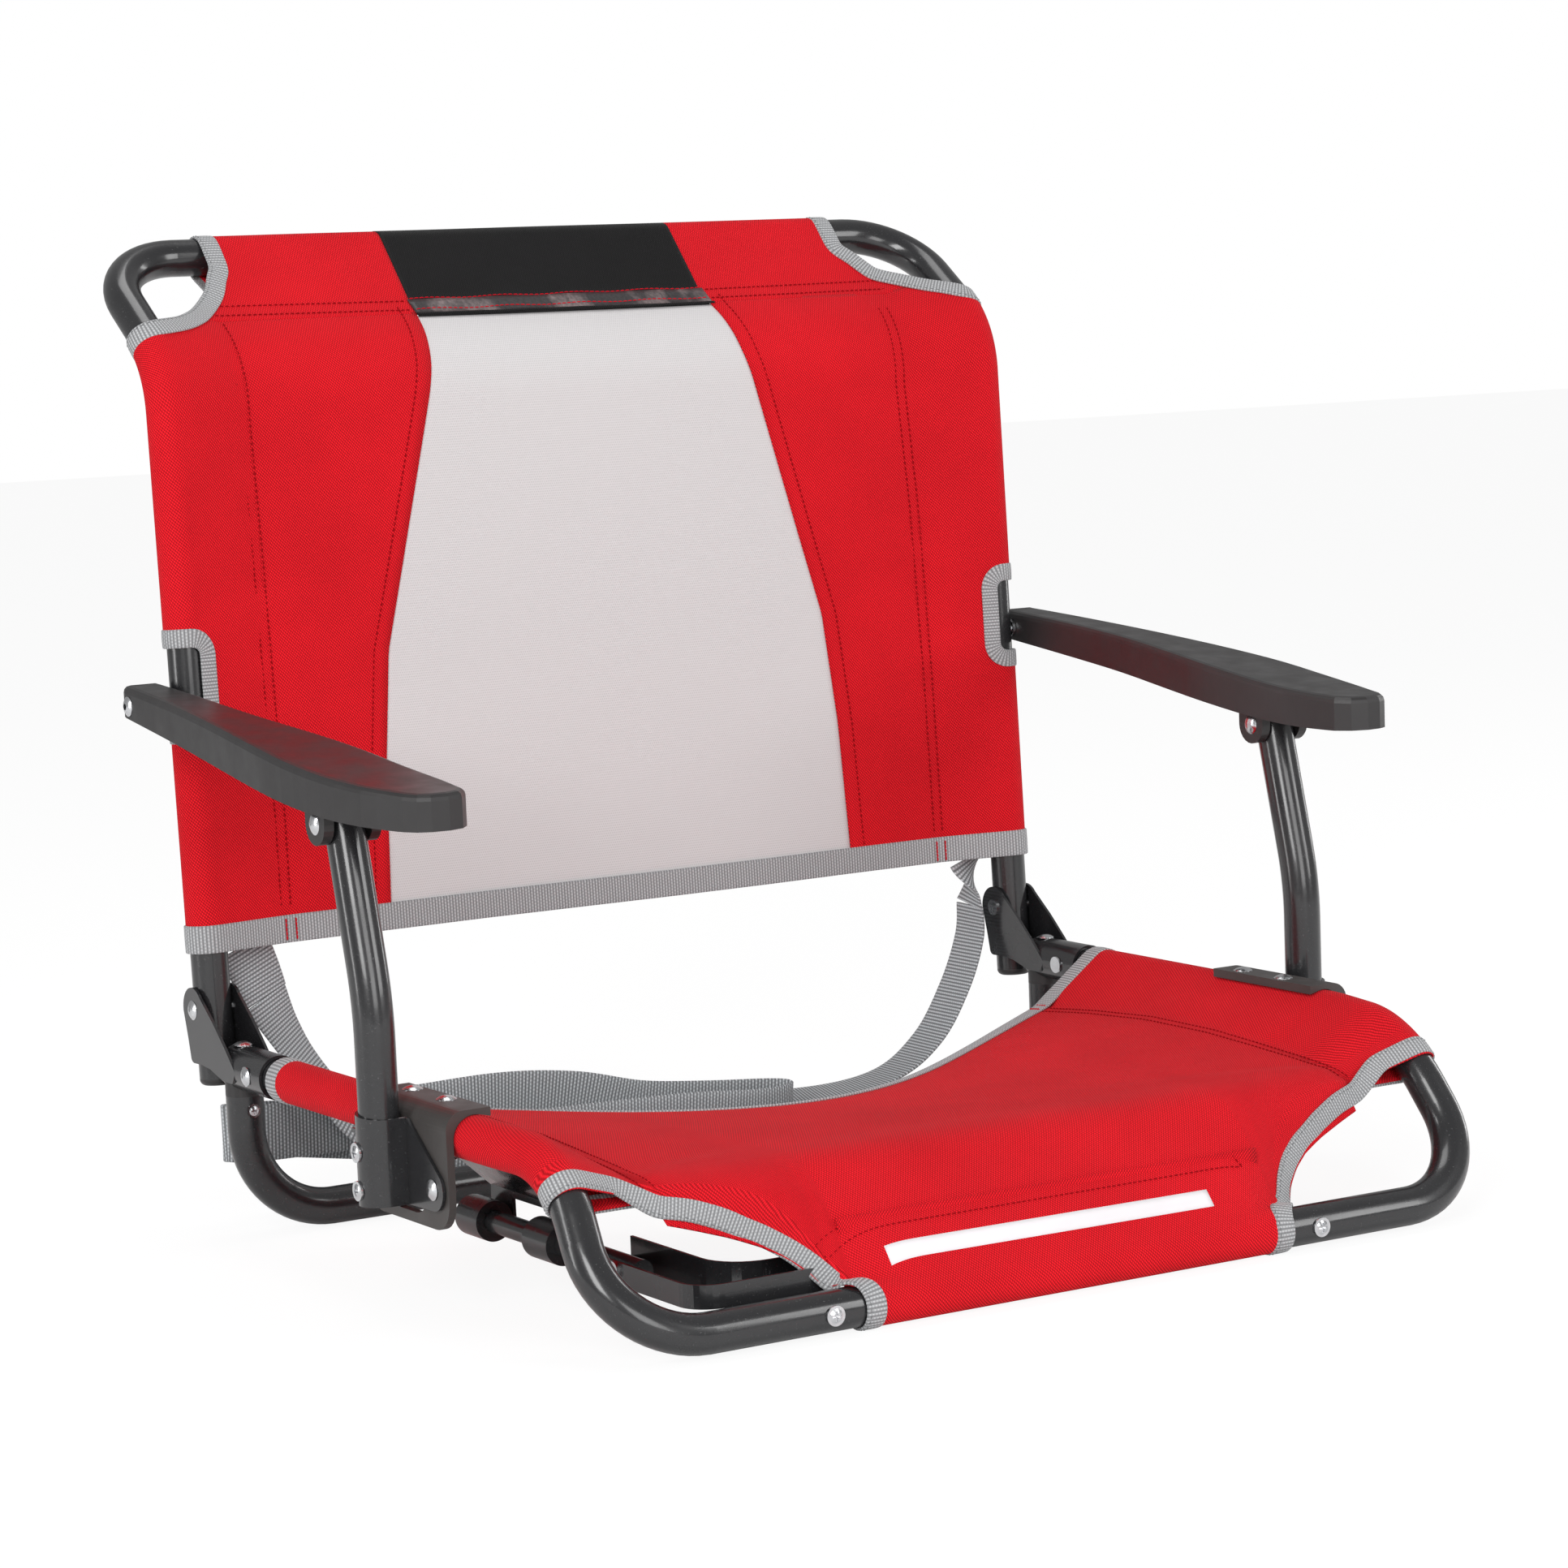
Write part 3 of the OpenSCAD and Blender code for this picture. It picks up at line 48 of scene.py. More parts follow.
def sided(name, s):
    return name + ("_right" if s > 0 else "_left")


def link(obj):
    bpy.context.scene.collection.objects.link(obj)


# ---- nodes
class Nodes:
    """Short ways to add nodes to a tree."""

    def __init__(self, tree):
        self.tree = tree

    def put(self, socket, value):
        """Link a socket to another, or set a number or colour on it."""
        if isinstance(value, bpy.types.NodeSocket):
            self.tree.links.new(value, socket)
        elif value is not None:
            socket.default_value = (*value, 1) if isinstance(value, tuple) else value

    def node(self, kind, sockets=(), **values):
        made = self.tree.nodes.new("ShaderNode" + kind)
        for key, value in values.items():
            setattr(made, key, value)
        for slot, value in dict(sockets).items():
            self.put(made.inputs[slot], value)
        return made

    def math(self, what, a, b=None):
        return self.node("Math", {0: a, 1: b}, operation=what).outputs[0]

    def times(self, a, b):
        return self.math("MULTIPLY", a, b)

    def plus(self, a, b):
        return self.math("ADD", a, b)


class Shader(Nodes):
    """A material with one principled shader."""

    def __init__(self, name, colour, roughness, metallic=0.0, specular=0.5, coat=0.0, sheen=0.0):
        self.mat = bpy.data.materials.new(name)
        self.mat.use_nodes = True
        super().__init__(self.mat.node_tree)
        self.bsdf = self.tree.nodes["Principled BSDF"]
        constants = {
            "Base Color": colour, "Roughness": roughness, "Metallic": metallic,
            "Specular IOR Level": specular, "Coat Weight": coat,
            "Sheen Weight": sheen, "Sheen Roughness": 0.4,
        }
        for key, value in constants.items():
            self.set(key, value)

    def set(self, name, value):
        self.put(self.bsdf.inputs[name], value)

    def place(self, uv=False):
        return self.node("TexCoord").outputs["UV" if uv else "Object"]

    def axes(self, place):
        return self.node("SeparateXYZ", {0: place}).outputs

    def noise(self, place, scale, detail=3, roughness=0.5):
        sockets = {"Scale": scale, "Detail": detail, "Roughness": roughness, "Vector": place}
        return self.node("TexNoise", sockets).outputs["Fac"]

    def span(self, value, low, high, from_low=0.0, from_high=1.0):
        ranges = {"From Min": from_low, "From Max": from_high, "To Min": low, "To Max": high}
        return self.node("MapRange", {"Value": value, **ranges}).outputs["Result"]

    def blend(self, value, low, high, first, second):
        """From the first colour where the value is low to the second where it is high."""
        amount = self.span(value, 0, 1, low, high)
        return self.node("Mix", {0: amount, 6: first, 7: second}, data_type="RGBA").outputs[2]

    def multiply(self, first, second):
        sockets = {0: 1, 6: first, 7: second}
        return self.node("Mix", sockets, data_type="RGBA", blend_type="MULTIPLY").outputs[2]

    def bump(self, height, distance, strength=1.0, below=None):
        sockets = {"Distance": distance, "Strength": strength, "Height": height, "Normal": below}
        return self.node("Bump", sockets).outputs["Normal"]

    def wave(self, value, period):
        """A sine of one length along a coordinate, from 0 to 1."""
        return self.span(self.math("SINE", self.times(value, 2 * math.pi / period)), 0, 1, -1, 1)

    def fuzzy(self, place, pattern, share, fibre_scale, fibre_share):
        """A pattern with fine fibres over it."""
        fibre = self.noise(place, fibre_scale, 2, 0.6)
        return self.plus(self.times(pattern, share), self.times(fibre, fibre_share))

    def staggered(self, value, other, step):
        """A coordinate that moves half a step with each row of the other one."""
        return self.plus(value, self.times(self.math("ROUND", self.math("DIVIDE", other, step)), step * 0.5))


# ---- camera, light and floor
CAMERA_RIGHT = Vector((0.843357, -0.536102, -0.036664))
CAMERA_UP = Vector((0.104579, 0.096824, 0.989792))
CAMERA_PLACE = Vector((-1.16252, -1.90556, 0.47376))
CAMERA_LENS = 103.24
CAMERA_SHIFT = (-0.04854, 0.06715)
# name, place, height it looks at, width and height, power
LAMPS = (
    ("key", (-2.2, -1.9, 1.5), 0.25, (0.9, 1.8), 46),
    ("fill", (1.7, -2.4, 1.2), 0.25, (0.9, 1.6), 25),
    ("front", (-0.5, -3.0, 0.9), 0.25, (1.2, 1.2), 20),
    ("top", (0.0, 0.5, 2.6), 0.2, (1.2, 1.2), 14),
    ("left_strip", (-2.4, 0.5, 0.8), 0.25, (0.35, 1.6), 13),
    ("right_strip", (2.4, 0.3, 0.9), 0.25, (0.35, 1.6), 9),
)
WORLD_LIGHT = 0.36
FLOOR_HALF = 9
FLOOR_Z = -0.0005
FLOOR_COLOUR = (0.92, 0.92, 0.92)
FLOOR_GLOW = 1.05
FLOOR_GLOW_SHARE = 0.86


def make_camera():
    data = bpy.data.cameras.new("camera")
    data.sensor_width = 36
    data.lens = CAMERA_LENS
    data.shift_x, data.shift_y = CAMERA_SHIFT
    data.clip_start = 0.1
    data.clip_end = 30
    cam = bpy.data.objects.new("camera", data)
    place = Matrix((CAMERA_RIGHT, CAMERA_UP, CAMERA_RIGHT.cross(CAMERA_UP))).transposed().to_4x4()
    place.translation = CAMERA_PLACE
    cam.matrix_world = place
    link(cam)
    bpy.context.scene.camera = cam


def make_light():
    scene = bpy.context.scene
    scene.view_settings.view_transform = "Standard"
    for name, place, target, size, power in LAMPS:
        data = bpy.data.lights.new(name, "AREA")
        data.shape = "RECTANGLE"
        data.size, data.size_y = size
        data.energy = power
        lamp = bpy.data.objects.new(name, data)
        lamp.location = place
        lamp.rotation_euler = (Vector((0, 0, target)) - Vector(place)).to_track_quat("-Z", "Y").to_euler()
        link(lamp)
    scene.world = bpy.data.worlds.new("world")
    scene.world.use_nodes = True
    n = Nodes(scene.world.node_tree)
    n.tree.nodes.clear()
    path = n.node("LightPath").outputs
    seen = n.math("MAXIMUM", path["Is Camera Ray"], path["Is Transmission Ray"])
    soft = n.node("Background", {"Color": WHITE, "Strength": WORLD_LIGHT})
    white = n.node("Background", {"Color": WHITE, "Strength": 1.0})
    pick = n.node("MixShader", {0: seen, 1: soft.outputs[0], 2: white.outputs[0]})
    n.node("OutputWorld", {"Surface": pick.outputs[0]})


def make_floor():
    mesh = bpy.data.meshes.new("floor")
    corners = ((-1, -1), (1, -1), (1, 1), (-1, 1))
    mesh.from_pydata([(x * FLOOR_HALF, y * FLOOR_HALF, FLOOR_Z) for x, y in corners], [], [(0, 1, 2, 3)])
    floor = bpy.data.objects.new("floor", mesh)
    link(floor)
    mat = bpy.data.materials.new("floor")
    mat.use_nodes = True
    n = Nodes(mat.node_tree)
    n.tree.nodes.clear()
    share = n.times(n.node("LightPath").outputs["Is Camera Ray"], FLOOR_GLOW_SHARE)
    matte = n.node("BsdfDiffuse", {"Color": FLOOR_COLOUR})
    glow = n.node("Emission", {"Color": WHITE, "Strength": FLOOR_GLOW})
    pick = n.node("MixShader", {0: share, 1: matte.outputs[0], 2: glow.outputs[0]})
    n.node("OutputMaterial", {"Surface": pick.outputs[0]})
    mesh.materials.append(mat)


# ---- materials
def shade(colour, share):
    return tuple(c * share for c in colour)


def paint(name, colour, roughness, grain, speck):
    """Satin coating on tube and sheet: an uneven gloss, a fine skin and a few specks of dust."""
    s = Shader(name, colour, roughness, specular=0.55, coat=0.35)
    s.set("Coat Roughness", 0.08)
    place = s.place()
    patch = s.noise(place, 28, 4, 0.6)
    s.set("Roughness", s.span(patch, roughness - 0.05, roughness + 0.06, 0.3, 0.7))
    dust = s.span(s.noise(place, 900, 2, 0.5), 0, speck, 0.66, 0.76)
    s.set("Base Color", s.blend(dust, 0, 1, colour, (0.22, 0.22, 0.22)))
    s.set("Normal", s.bump(s.noise(place, grain, 3, 0.55), 0.00005, 0.35))
    return s.mat


def plastic(name, colour, roughness, grain, depth):
    """Moulded plastic: a fine grain, with slow changes of tone and gloss."""
    s = Shader(name, colour, roughness, specular=0.45)
    place = s.place()
    patch = s.noise(place, 14, 4, 0.6)
    s.set("Base Color", s.blend(patch, 0.3, 0.7, shade(colour, 0.85), shade(colour, 1.2)))
    s.set("Roughness", s.span(s.noise(place, 60), roughness - 0.05, roughness + 0.08, 0.3, 0.7))
    s.set("Normal", s.bump(s.noise(place, grain, 2, 0.6), depth, 0.5))
    return s.mat


def metal(name, colour, roughness):
    """Plated metal with uneven gloss."""
    s = Shader(name, colour, roughness, metallic=1.0)
    place = s.place()
    patch = s.noise(place, 180, 3, 0.6)
    s.set("Roughness", s.span(patch, roughness - 0.06, roughness + 0.12, 0.3, 0.7))
    s.set("Base Color", s.blend(patch, 0.35, 0.7, shade(colour, 0.8), colour))
    s.set("Normal", s.bump(s.noise(place, 700, 2, 0.5), 0.00004, 0.3))
    return s.mat


def woven(name, colour, yarn, depth, contrast, sheen, roughness=0.8, wear_low=0.9):
    """Twill: yarns cross in small dots that line up into slanting ribs, over soft patches of wear."""
    s = Shader(name, colour, roughness, specular=0.08, sheen=sheen)
    place = s.place(uv=True)
    u, v, _ = s.axes(place)
    jitter = s.span(s.noise(place, 120, 2, 0.5), -yarn * 0.35, yarn * 0.35)
    slant = s.wave(s.plus(s.plus(u, v), jitter), yarn)
    cross = s.wave(s.math("SUBTRACT", u, s.times(v, 0.55)), yarn * 0.8)
    threads = s.times(s.span(slant, 0.25, 1.0), s.span(cross, 0.45, 1.0))
    tone = s.fuzzy(place, threads, 0.8, 1300.0, 0.3)
    fine = s.blend(tone, 0.2, 0.95, shade(colour, 1 - contrast), shade(colour, 1 + contrast))
    worn = s.blend(s.noise(place, 11, 4, 0.6), 0.3, 0.7, (wear_low,) * 3, (1.07, 1.07, 1.07))
    s.set("Base Color", s.multiply(fine, worn))
    coarse = s.bump(s.noise(place, 45, 3, 0.55), 0.0009, 0.3)
    s.set("Normal", s.bump(threads, depth, 0.8, coarse))
    return s.mat


def webbing(name, colour, rib, depth, contrast):
    """Ribbed tape: ribs across the length, each broken into small stitches, with fuzz between them."""
    s = Shader(name, colour, 0.72, specular=0.3, sheen=0.15)
    place = s.place(uv=True)
    u, v, _ = s.axes(place)
    cells = s.wave(s.staggered(v, u, rib), rib)
    height = s.times(s.wave(u, rib), s.span(cells, 0.45, 1.0))
    tone = s.fuzzy(place, height, 0.7, 1400.0, 0.3)
    s.set("Base Color", s.blend(tone, 0.15, 0.8, shade(colour, 1 - contrast), shade(colour, 1 + contrast)))
    s.set("Normal", s.bump(height, depth, 0.8))
    return s.mat


def netting(name, colour, cell, dark):
    """Fine sling mesh: a grid of pale strands with small shaded pits."""
    s = Shader(name, colour, 0.62, specular=0.3, sheen=0.1)
    place = s.place(uv=True)
    u, v, _ = s.axes(place)
    pits = s.times(s.wave(s.staggered(u, v, cell), cell), s.wave(v, cell))
    tone = s.fuzzy(place, pits, 0.75, 1600.0, 0.25)
    s.set("Base Color", s.blend(tone, 0.25, 0.85, colour, shade(colour, dark)))
    s.set("Normal", s.bump(pits, -0.00012, 0.6))
    return s.mat


def patchy(name):
    """Seam allowance seen through black netting: dark, with warm and pale patches."""
    s = Shader(name, (0.1, 0.1, 0.1), 0.45, specular=0.4)
    place = s.place(uv=True)
    fine = s.noise(place, 600, 2, 0.6)
    broad = s.blend(s.noise(place, 38, 3, 0.6), 0.47, 0.62, (0.035, 0.03, 0.032), (0.20, 0.155, 0.155))
    s.set("Base Color", s.multiply(broad, s.blend(fine, 0.35, 0.65, (0.6, 0.6, 0.6), (1.2, 1.2, 1.2))))
    s.set("Normal", s.bump(fine, 0.0002, 0.5))
    return s.mat


# yarn, depth, contrast and sheen of sewing thread
THREAD = (0.0006, 0.0001, 0.2, 0.0)
MATERIALS = (
    (paint, "black_paint", (0.016, 0.016, 0.0175), 0.24, 420.0, 0.25),
    (plastic, "black_plastic", (0.024, 0.0225, 0.023), 0.38, 1100.0, 0.00006),
    (plastic, "brown_plastic", (0.050, 0.045, 0.043), 0.42, 700.0, 0.00005),
    (metal, "zinc", (0.74, 0.75, 0.77), 0.20),
    (woven, "red_cloth", (0.66, 0.010, 0.018), 0.00170, 0.00030, 0.62, 0.02),
    (woven, "red_thread", (0.30, 0.002, 0.006), *THREAD),
    (woven, "bright_thread", (0.55, 0.008, 0.02), *THREAD),
    (webbing, "grey_binding", (0.37, 0.375, 0.385), 0.0017, 0.00030, 0.5),
    (woven, "grey_thread", (0.20, 0.205, 0.21), *THREAD),
    (webbing, "grey_webbing", (0.37, 0.385, 0.40), 0.0020, 0.00036, 0.65),
    (netting, "pale_mesh", (0.615, 0.595, 0.60), 0.0013, 0.78),
    (woven, "black_cloth", (0.013, 0.0127, 0.013), 0.0013, 0.0002, 0.6, 0.02, 0.36),
    (patchy, "dark_net"),
    (woven, "white_strip", (0.80, 0.77, 0.79), 0.0009, 0.00005, 0.04, 0.0, 0.6, 0.97),
)
MATS = {row[1]: row[0](*row[1:]) for row in MATERIALS}


def cad_materials():
    """Materials and slightly softened edges for the rigid nodes."""
    slots = {row["node"]: row["material_slot"] for row in frame["record"]["subparts"]}
    for name, obj in nodes.items():
        obj.data.materials.clear()
        obj.data.materials.append(MATS[slots[name]])
        if name != "hook_channel":
            mod = obj.modifiers.new("soften", "BEVEL")
            mod.width = 0.0004
            mod.segments = 2
            mod.limit_method = "ANGLE"
            mod.angle_limit = math.radians(50)


# ---- lines and meshes
def cosd(angle):
    return math.cos(math.radians(angle))


def sind(angle):
    return math.sin(math.radians(angle))


def polar(angle, radius=1.0):
    return radius * np.array([cosd(angle), sind(angle)])


def heading(v):
    return math.degrees(math.atan2(v[1], v[0]))


def bell(x, width):
    return math.exp(-(x / width) ** 2)


def ease(t):
    t = min(1, max(0, t))
    return t * t * (3 - 2 * t)


def table(pairs, at):
    """The value at a place in a table of places and values."""
    return float(np.interp(at, *np.transpose(pairs)))


def between(a, b, steps):
    """Points on the way from a to b, without a."""
    return [a * (1 - t) + b * t for t in np.linspace(0, 1, steps)[1:]]


def pick(want, at, rows):
    """Rows of numbers, interpolated at the wanted places."""
    return np.stack([np.interp(want, at, rows[:, k]) for k in range(rows.shape[1])], axis=-1)


def lengths(points):
    step = np.linalg.norm(np.diff(points, axis=0), axis=1)
    return np.concatenate([[0], np.cumsum(step)])


def resample(points, count):
    """Points at equal steps along a polyline."""
    points = np.array(points, float)
    at = lengths(points)
    return pick(np.linspace(0, at[-1], count), at, points)


def smooth_line(points, rounds):
    out = points.copy()
    for _ in range(rounds):
        out[1:-1] = out[1:-1] * 0.5 + (out[:-2] + out[2:]) * 0.25
    return out


def unit(v):
    return v / np.maximum(np.linalg.norm(v, axis=-1, keepdims=True), 1e-12)


def flat_normals(points):
    """Normals to the left of a flat polyline."""
    ahead = np.gradient(points, axis=0)
    return unit(np.stack([-ahead[:, 1], ahead[:, 0]], axis=1))


def spread(line, normal, count, rounds):
    """A line and its normals at equal steps, smoothed."""
    line, normal = np.array(line), np.array(normal)
    at = lengths(line)
    normal = pick(np.linspace(0, at[-1], count), at, normal)
    return smooth_line(resample(line, count), rounds), unit(smooth_line(normal, rounds))


def new_object(name, shape, mat, body):
    """shape is vertices, faces and one pair for each vertex, in metres along the cloth."""
    verts, faces, uvs = shape
    mesh = bpy.data.meshes.new(name)
    mesh.from_pydata([tuple(v) for v in verts], [], [tuple(f) for f in faces])
    layer = mesh.uv_layers.new(name="flat")
    index = np.zeros(len(mesh.loops), int)
    mesh.loops.foreach_get("vertex_index", index)
    layer.data.foreach_set("uv", np.asarray(uvs, float)[index].ravel())
    mesh.polygons.foreach_set("use_smooth", [True] * len(mesh.polygons))
    mesh.materials.append(MATS[mat])
    mesh.update()
    obj = bpy.data.objects.new(name, mesh)
    link(obj)
    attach(obj, body)
    return obj


class Patch:
    """One mesh from grids of points, joined where they coincide."""

    def __init__(self):
        self.verts, self.uvs, self.faces = [], [], []
        self.known = {}

    def point(self, p, uv):
        key = (round(p[0] * 2e5), round(p[1] * 2e5), round(p[2] * 2e5))
        if key not in self.known:
            self.known[key] = len(self.verts)
            self.verts.append(p)
            self.uvs.append(uv)
        return self.known[key]

    def grid(self, points, uv, turned=False):
        rows, cols = points.shape[:2]
        ids = [[self.point(points[i, j], uv[i, j]) for j in range(cols)] for i in range(rows)]
        for i in range(rows - 1):
            for j in range(cols - 1):
                face = [ids[i][j], ids[i][j + 1], ids[i + 1][j + 1], ids[i + 1][j]]
                if turned:
                    face.reverse()
                if len(set(face)) > 2:
                    self.faces.append(list(dict.fromkeys(face)))

    def cloth(self, name, mat, body, slot=None, thick=0.0009, offset=0.0):
        obj = new_object(name, (self.verts, self.faces, self.uvs), mat, body)
        mod = obj.modifiers.new("cloth", "SOLIDIFY")
        mod.thickness = thick
        mod.offset = offset
        mod.use_even_offset = True
        return obj


def grid_cloth(name, rows, flats, mat, body, **options):
    patch = Patch()
    patch.grid(np.array(rows), np.array(flats))
    return patch.cloth(name, mat, body, **options)


def ring_faces(rows, k, closed=False, base=0):
    """Faces between rings of k points, with a cap at each end unless the rings close."""
    faces = []
    for i in range(rows if closed else rows - 1):
        n = (i + 1) % rows
        for j in range(k):
            m = (j + 1) % k
            faces.append((base + i * k + j, base + i * k + m, base + n * k + m, base + n * k + j))
    if not closed:
        faces.append(tuple(base + j for j in reversed(range(k))))
        faces.append(tuple(base + (rows - 1) * k + j for j in range(k)))
    return faces


def loft(line, wide, face, section, at, around, closed=False):
    """A section swept along a line."""
    verts = [p + w * x + f * y for p, w, f in zip(line, wide, face) for x, y in section]
    return verts, ring_faces(len(line), len(section), closed), [(u, v) for u in at for v in around]


TAPE_WOBBLE = 0.00025
TAPE_STATIONS = 12


def tape(name, line, normal, width, thick, body, seed=0, mat="grey_binding", closed=False, crown=0.12):
    """A folded tape along a line: a rounded flat section, laid on the normal's side."""
    line = np.asarray(line, float)
    normal = unit(np.asarray(normal, float))
    if closed:
        run = unit(np.roll(line, -1, axis=0) - np.roll(line, 1, axis=0))
        wobble = np.zeros(len(line))
    else:
        run = unit(np.gradient(line, axis=0))
        rng = np.random.default_rng(seed)
        at = np.linspace(0, 1, TAPE_STATIONS)
        steps = rng.normal(0, 1, TAPE_STATIONS)
        wobble = np.interp(np.linspace(0, 1, len(line)), at, steps) * TAPE_WOBBLE
    across = unit(np.cross(run, normal))
    normal = unit(np.cross(across, run))
    edge = thick * 0.45
    flat = width / 2 - edge
    section = [(x * flat, thick * (1 + crown * (1 - x * x))) for x in np.linspace(-1, 1, 9)]
    section += [(flat + edge * cosd(a), thick / 2 + thick / 2 * sind(a)) for a in np.linspace(60, -90, 5)]
    section.append((0.0, 0.0))
    section += [(-flat + edge * cosd(a), thick / 2 + thick / 2 * sind(a)) for a in np.linspace(-90, -240, 5)]
    section = np.array(section)
    middle = line + across * wobble[:, None]
    shape = loft(middle, across, normal, section, lengths(line), lengths(section), closed)
    return new_object(name, shape, mat, body)


STITCH_RINGS = ((-0.5, 0.25), (-0.3, 0.9), (0.0, 1.0), (0.3, 0.9), (0.5, 0.25))
STITCH_SIDES = 6
RED_STITCH = dict(radius=0.00034, lift=0.00005)
TACK = dict(pitch=0.0022, length=0.0026, radius=0.0005)


def stitches(name, lines, mat, body, slot, pitch=0.0030, length=0.0021, radius=0.00028, lift=0.0001):
    """Short rounded threads along lines, each given with its normals."""
    verts, faces, uvs = [], [], []
    for line, normal in lines:
        at = lengths(line)
        for c in range(max(1, int(at[-1] / pitch))):
            where = (c + 0.5) * pitch
            p = pick(where, at, line)
            d = pick(min(where + 0.0005, at[-1]), at, line) - p
            if np.linalg.norm(d) < 1e-9:
                continue
            n = unit(pick(where, at, normal))
            d = unit(d)
            s = np.cross(d, n)
            faces += ring_faces(len(STITCH_RINGS), STITCH_SIDES, base=len(verts))
            for t, r in STITCH_RINGS:
                sink = -radius * 0.9 * (abs(t) * 2) ** 3
                for a in range(STITCH_SIDES):
                    side, up = polar(a * 360 / STITCH_SIDES, radius * r)
                    verts.append(p + d * t * length + n * (lift + sink + up) + s * side)
                    uvs.append((where + t * length, a * radius))
    return new_object(name, (verts, faces, uvs), mat, body)


# ---- the back's sizes, in millimetres
XH = 244.5
SLEEVE_R = 10.25
SEAM_IN = 43
SEAM_X = XH - SEAM_IN
HINGE = (174.5, 112.7)
LEAN = 2.72
KINK_Z = 437
KINK_R = 50
TOP_DY = 74
TOP_DZ = 52.4
HEM_Z = 141
HEM_H = 14
PANEL_TOP = 457
TOP_END = 191
BAND_X = 88
BAND_LOW = 455
SEAM_Z = 463
SLOT_Z = (252.0, 300.0)
SLOT_INNER = -8
SLOT_ROUND = 9
# widths and thicknesses of tapes, in metres
CORNER_TAPE = (0.0105, 0.0013)
SLOT_TAPE = (0.0095, 0.0012)
HEM_TAPE = (0.0142, 0.0014)
SQUEEZE_Z = 425
SPREAD_OUT = 0.24
# heights and half widths of the mesh panel
MESH_EDGE = ((155, 143), (225, 140), (285, 134), (330, 122), (395, 105), (430, 96), (456, 91))
# places across and heights of the tape on the top corners' cut-outs
CORNER_EDGE = {
    -1: (
        (190, 482), (192.5, 474), (197.5, 468), (204, 462.5),
        (213, 456.5), (225, 451.3), (238, 448.2), (246, 447),
    ),
    1: (
        (190, 482), (196, 474), (201, 468.5), (206, 465),
        (214, 461), (226, 454.8), (238, 450), (246, 447.5),
    ),
}
# places across and heights of the double seam beside each upright
SIDE_SEAM = {
    -1: ((-202.5, 455), (-203, 406), (-201.5, 332), (-200, 208), (-200.5, 157)),
    1: ((193.5, 449), (191.5, 408), (195.6, 341), (198, 247), (198.7, 157)),
}
# height, slant, wave length, middle and reach of the panels' creases
CREASES = ((0.8, 0.35, 6.5, 310, 26.0), (0.5, -0.2, 4.6, 235, 30.0))
# wave numbers of the cloth's soft folds
WAVES = (18, 27, 41, 63, 90)


def back_y(z):
    return HINGE[0] + (z - HINGE[1]) * math.tan(math.radians(LEAN))


KINK_Y = back_y(KINK_Z)
TOP_LEAN = math.degrees(math.atan2(TOP_DY, TOP_DZ))
KINK_CUT = KINK_R * math.tan(math.radians((TOP_LEAN - LEAN) / 2))
KINK_Z0 = KINK_Z - KINK_CUT * cosd(LEAN)
KINK_Z1 = KINK_Z + KINK_CUT * cosd(TOP_LEAN)
KINK_MID = (back_y(KINK_Z0) + KINK_R * cosd(LEAN), KINK_Z0 - KINK_R * sind(LEAN))
TOP_BAR = np.array([KINK_Y + TOP_DY, KINK_Z + TOP_DZ])


def lean_at(z):
    if z <= KINK_Z0:
        return LEAN
    if z >= KINK_Z1:
        return TOP_LEAN
    return math.degrees(math.asin((z - KINK_MID[1]) / KINK_R))


def panel_y(z):
    if z <= KINK_Z0:
        return back_y(z)
    if z >= KINK_Z1:
        return KINK_Y + (z - KINK_Z) * math.tan(math.radians(TOP_LEAN))
    return KINK_MID[0] - KINK_R * cosd(lean_at(z))


def front_of(z, out=1.0, across=0.0):
    """A direction out of the back's front."""
    return np.array([across, -out * cosd(lean_at(z)), out * sind(lean_at(z))])


def on_back(x, z, out):
    """A point of the back in metres: across, height along the frame's line, and how far in front of it."""
    return (np.array([x, panel_y(z), z]) + front_of(z, out)) * MM


def mesh_x(z):
    return table(MESH_EDGE, z)


def edge_z(s, x):
    """Height of the corner cut-out's tape at a place across."""
    return table(CORNER_EDGE[s], x)


def edge_x(s, z):
    return table(np.array(CORNER_EDGE[s])[::-1, ::-1], z)


def soft_noise(seed):
    """A smooth random height over a plane: a few crossed waves."""
    rng = np.random.default_rng(seed)
    waves = [(rng.uniform(0.5, 1.0), rng.uniform(0, math.tau), rng.uniform(0, math.pi), k) for k in WAVES]

    def height(u, v):
        total = 0.0
        for size, phase, turn, k in waves:
            total = total + size / k * 20 * np.sin(k * (u * math.cos(turn) + v * math.sin(turn)) + phase)
        return total / 3

    return height


def sleeve_section(steps):
    """Sleeve round a tube: places to the side and to the front, from the seam round to its back."""
    a = 90 + math.degrees(math.asin(SLEEVE_R / SEAM_IN))
    tangent = polar(a, SLEEVE_R)
    points = between(np.array([-SEAM_IN, 0.0]), tangent, 9)[:-1]
    points += [polar(w, SLEEVE_R) for w in np.linspace(a, -a, steps)]
    points += between(tangent * [1, -1], np.array([-SEAM_IN + 2, -1.6]), 9)
    return np.array(points)


def sleeve_profile(inner, steps=26):
    """The side panel from above: flat from its inner edge to the seam, then the sleeve."""
    flat = [(x, 0.0) for x in np.linspace(inner - XH, -SEAM_IN, 14)]
    return np.concatenate([flat, sleeve_section(steps)])


def sleeve_normal(dx, dz):
    """Flat normal of the sleeve: away from the tube round it, and straight out beside it."""
    return unit(np.array([dx, dz])) if dx > -3 else np.array([0.0, -1.0 if dz < 0 else 1.0])


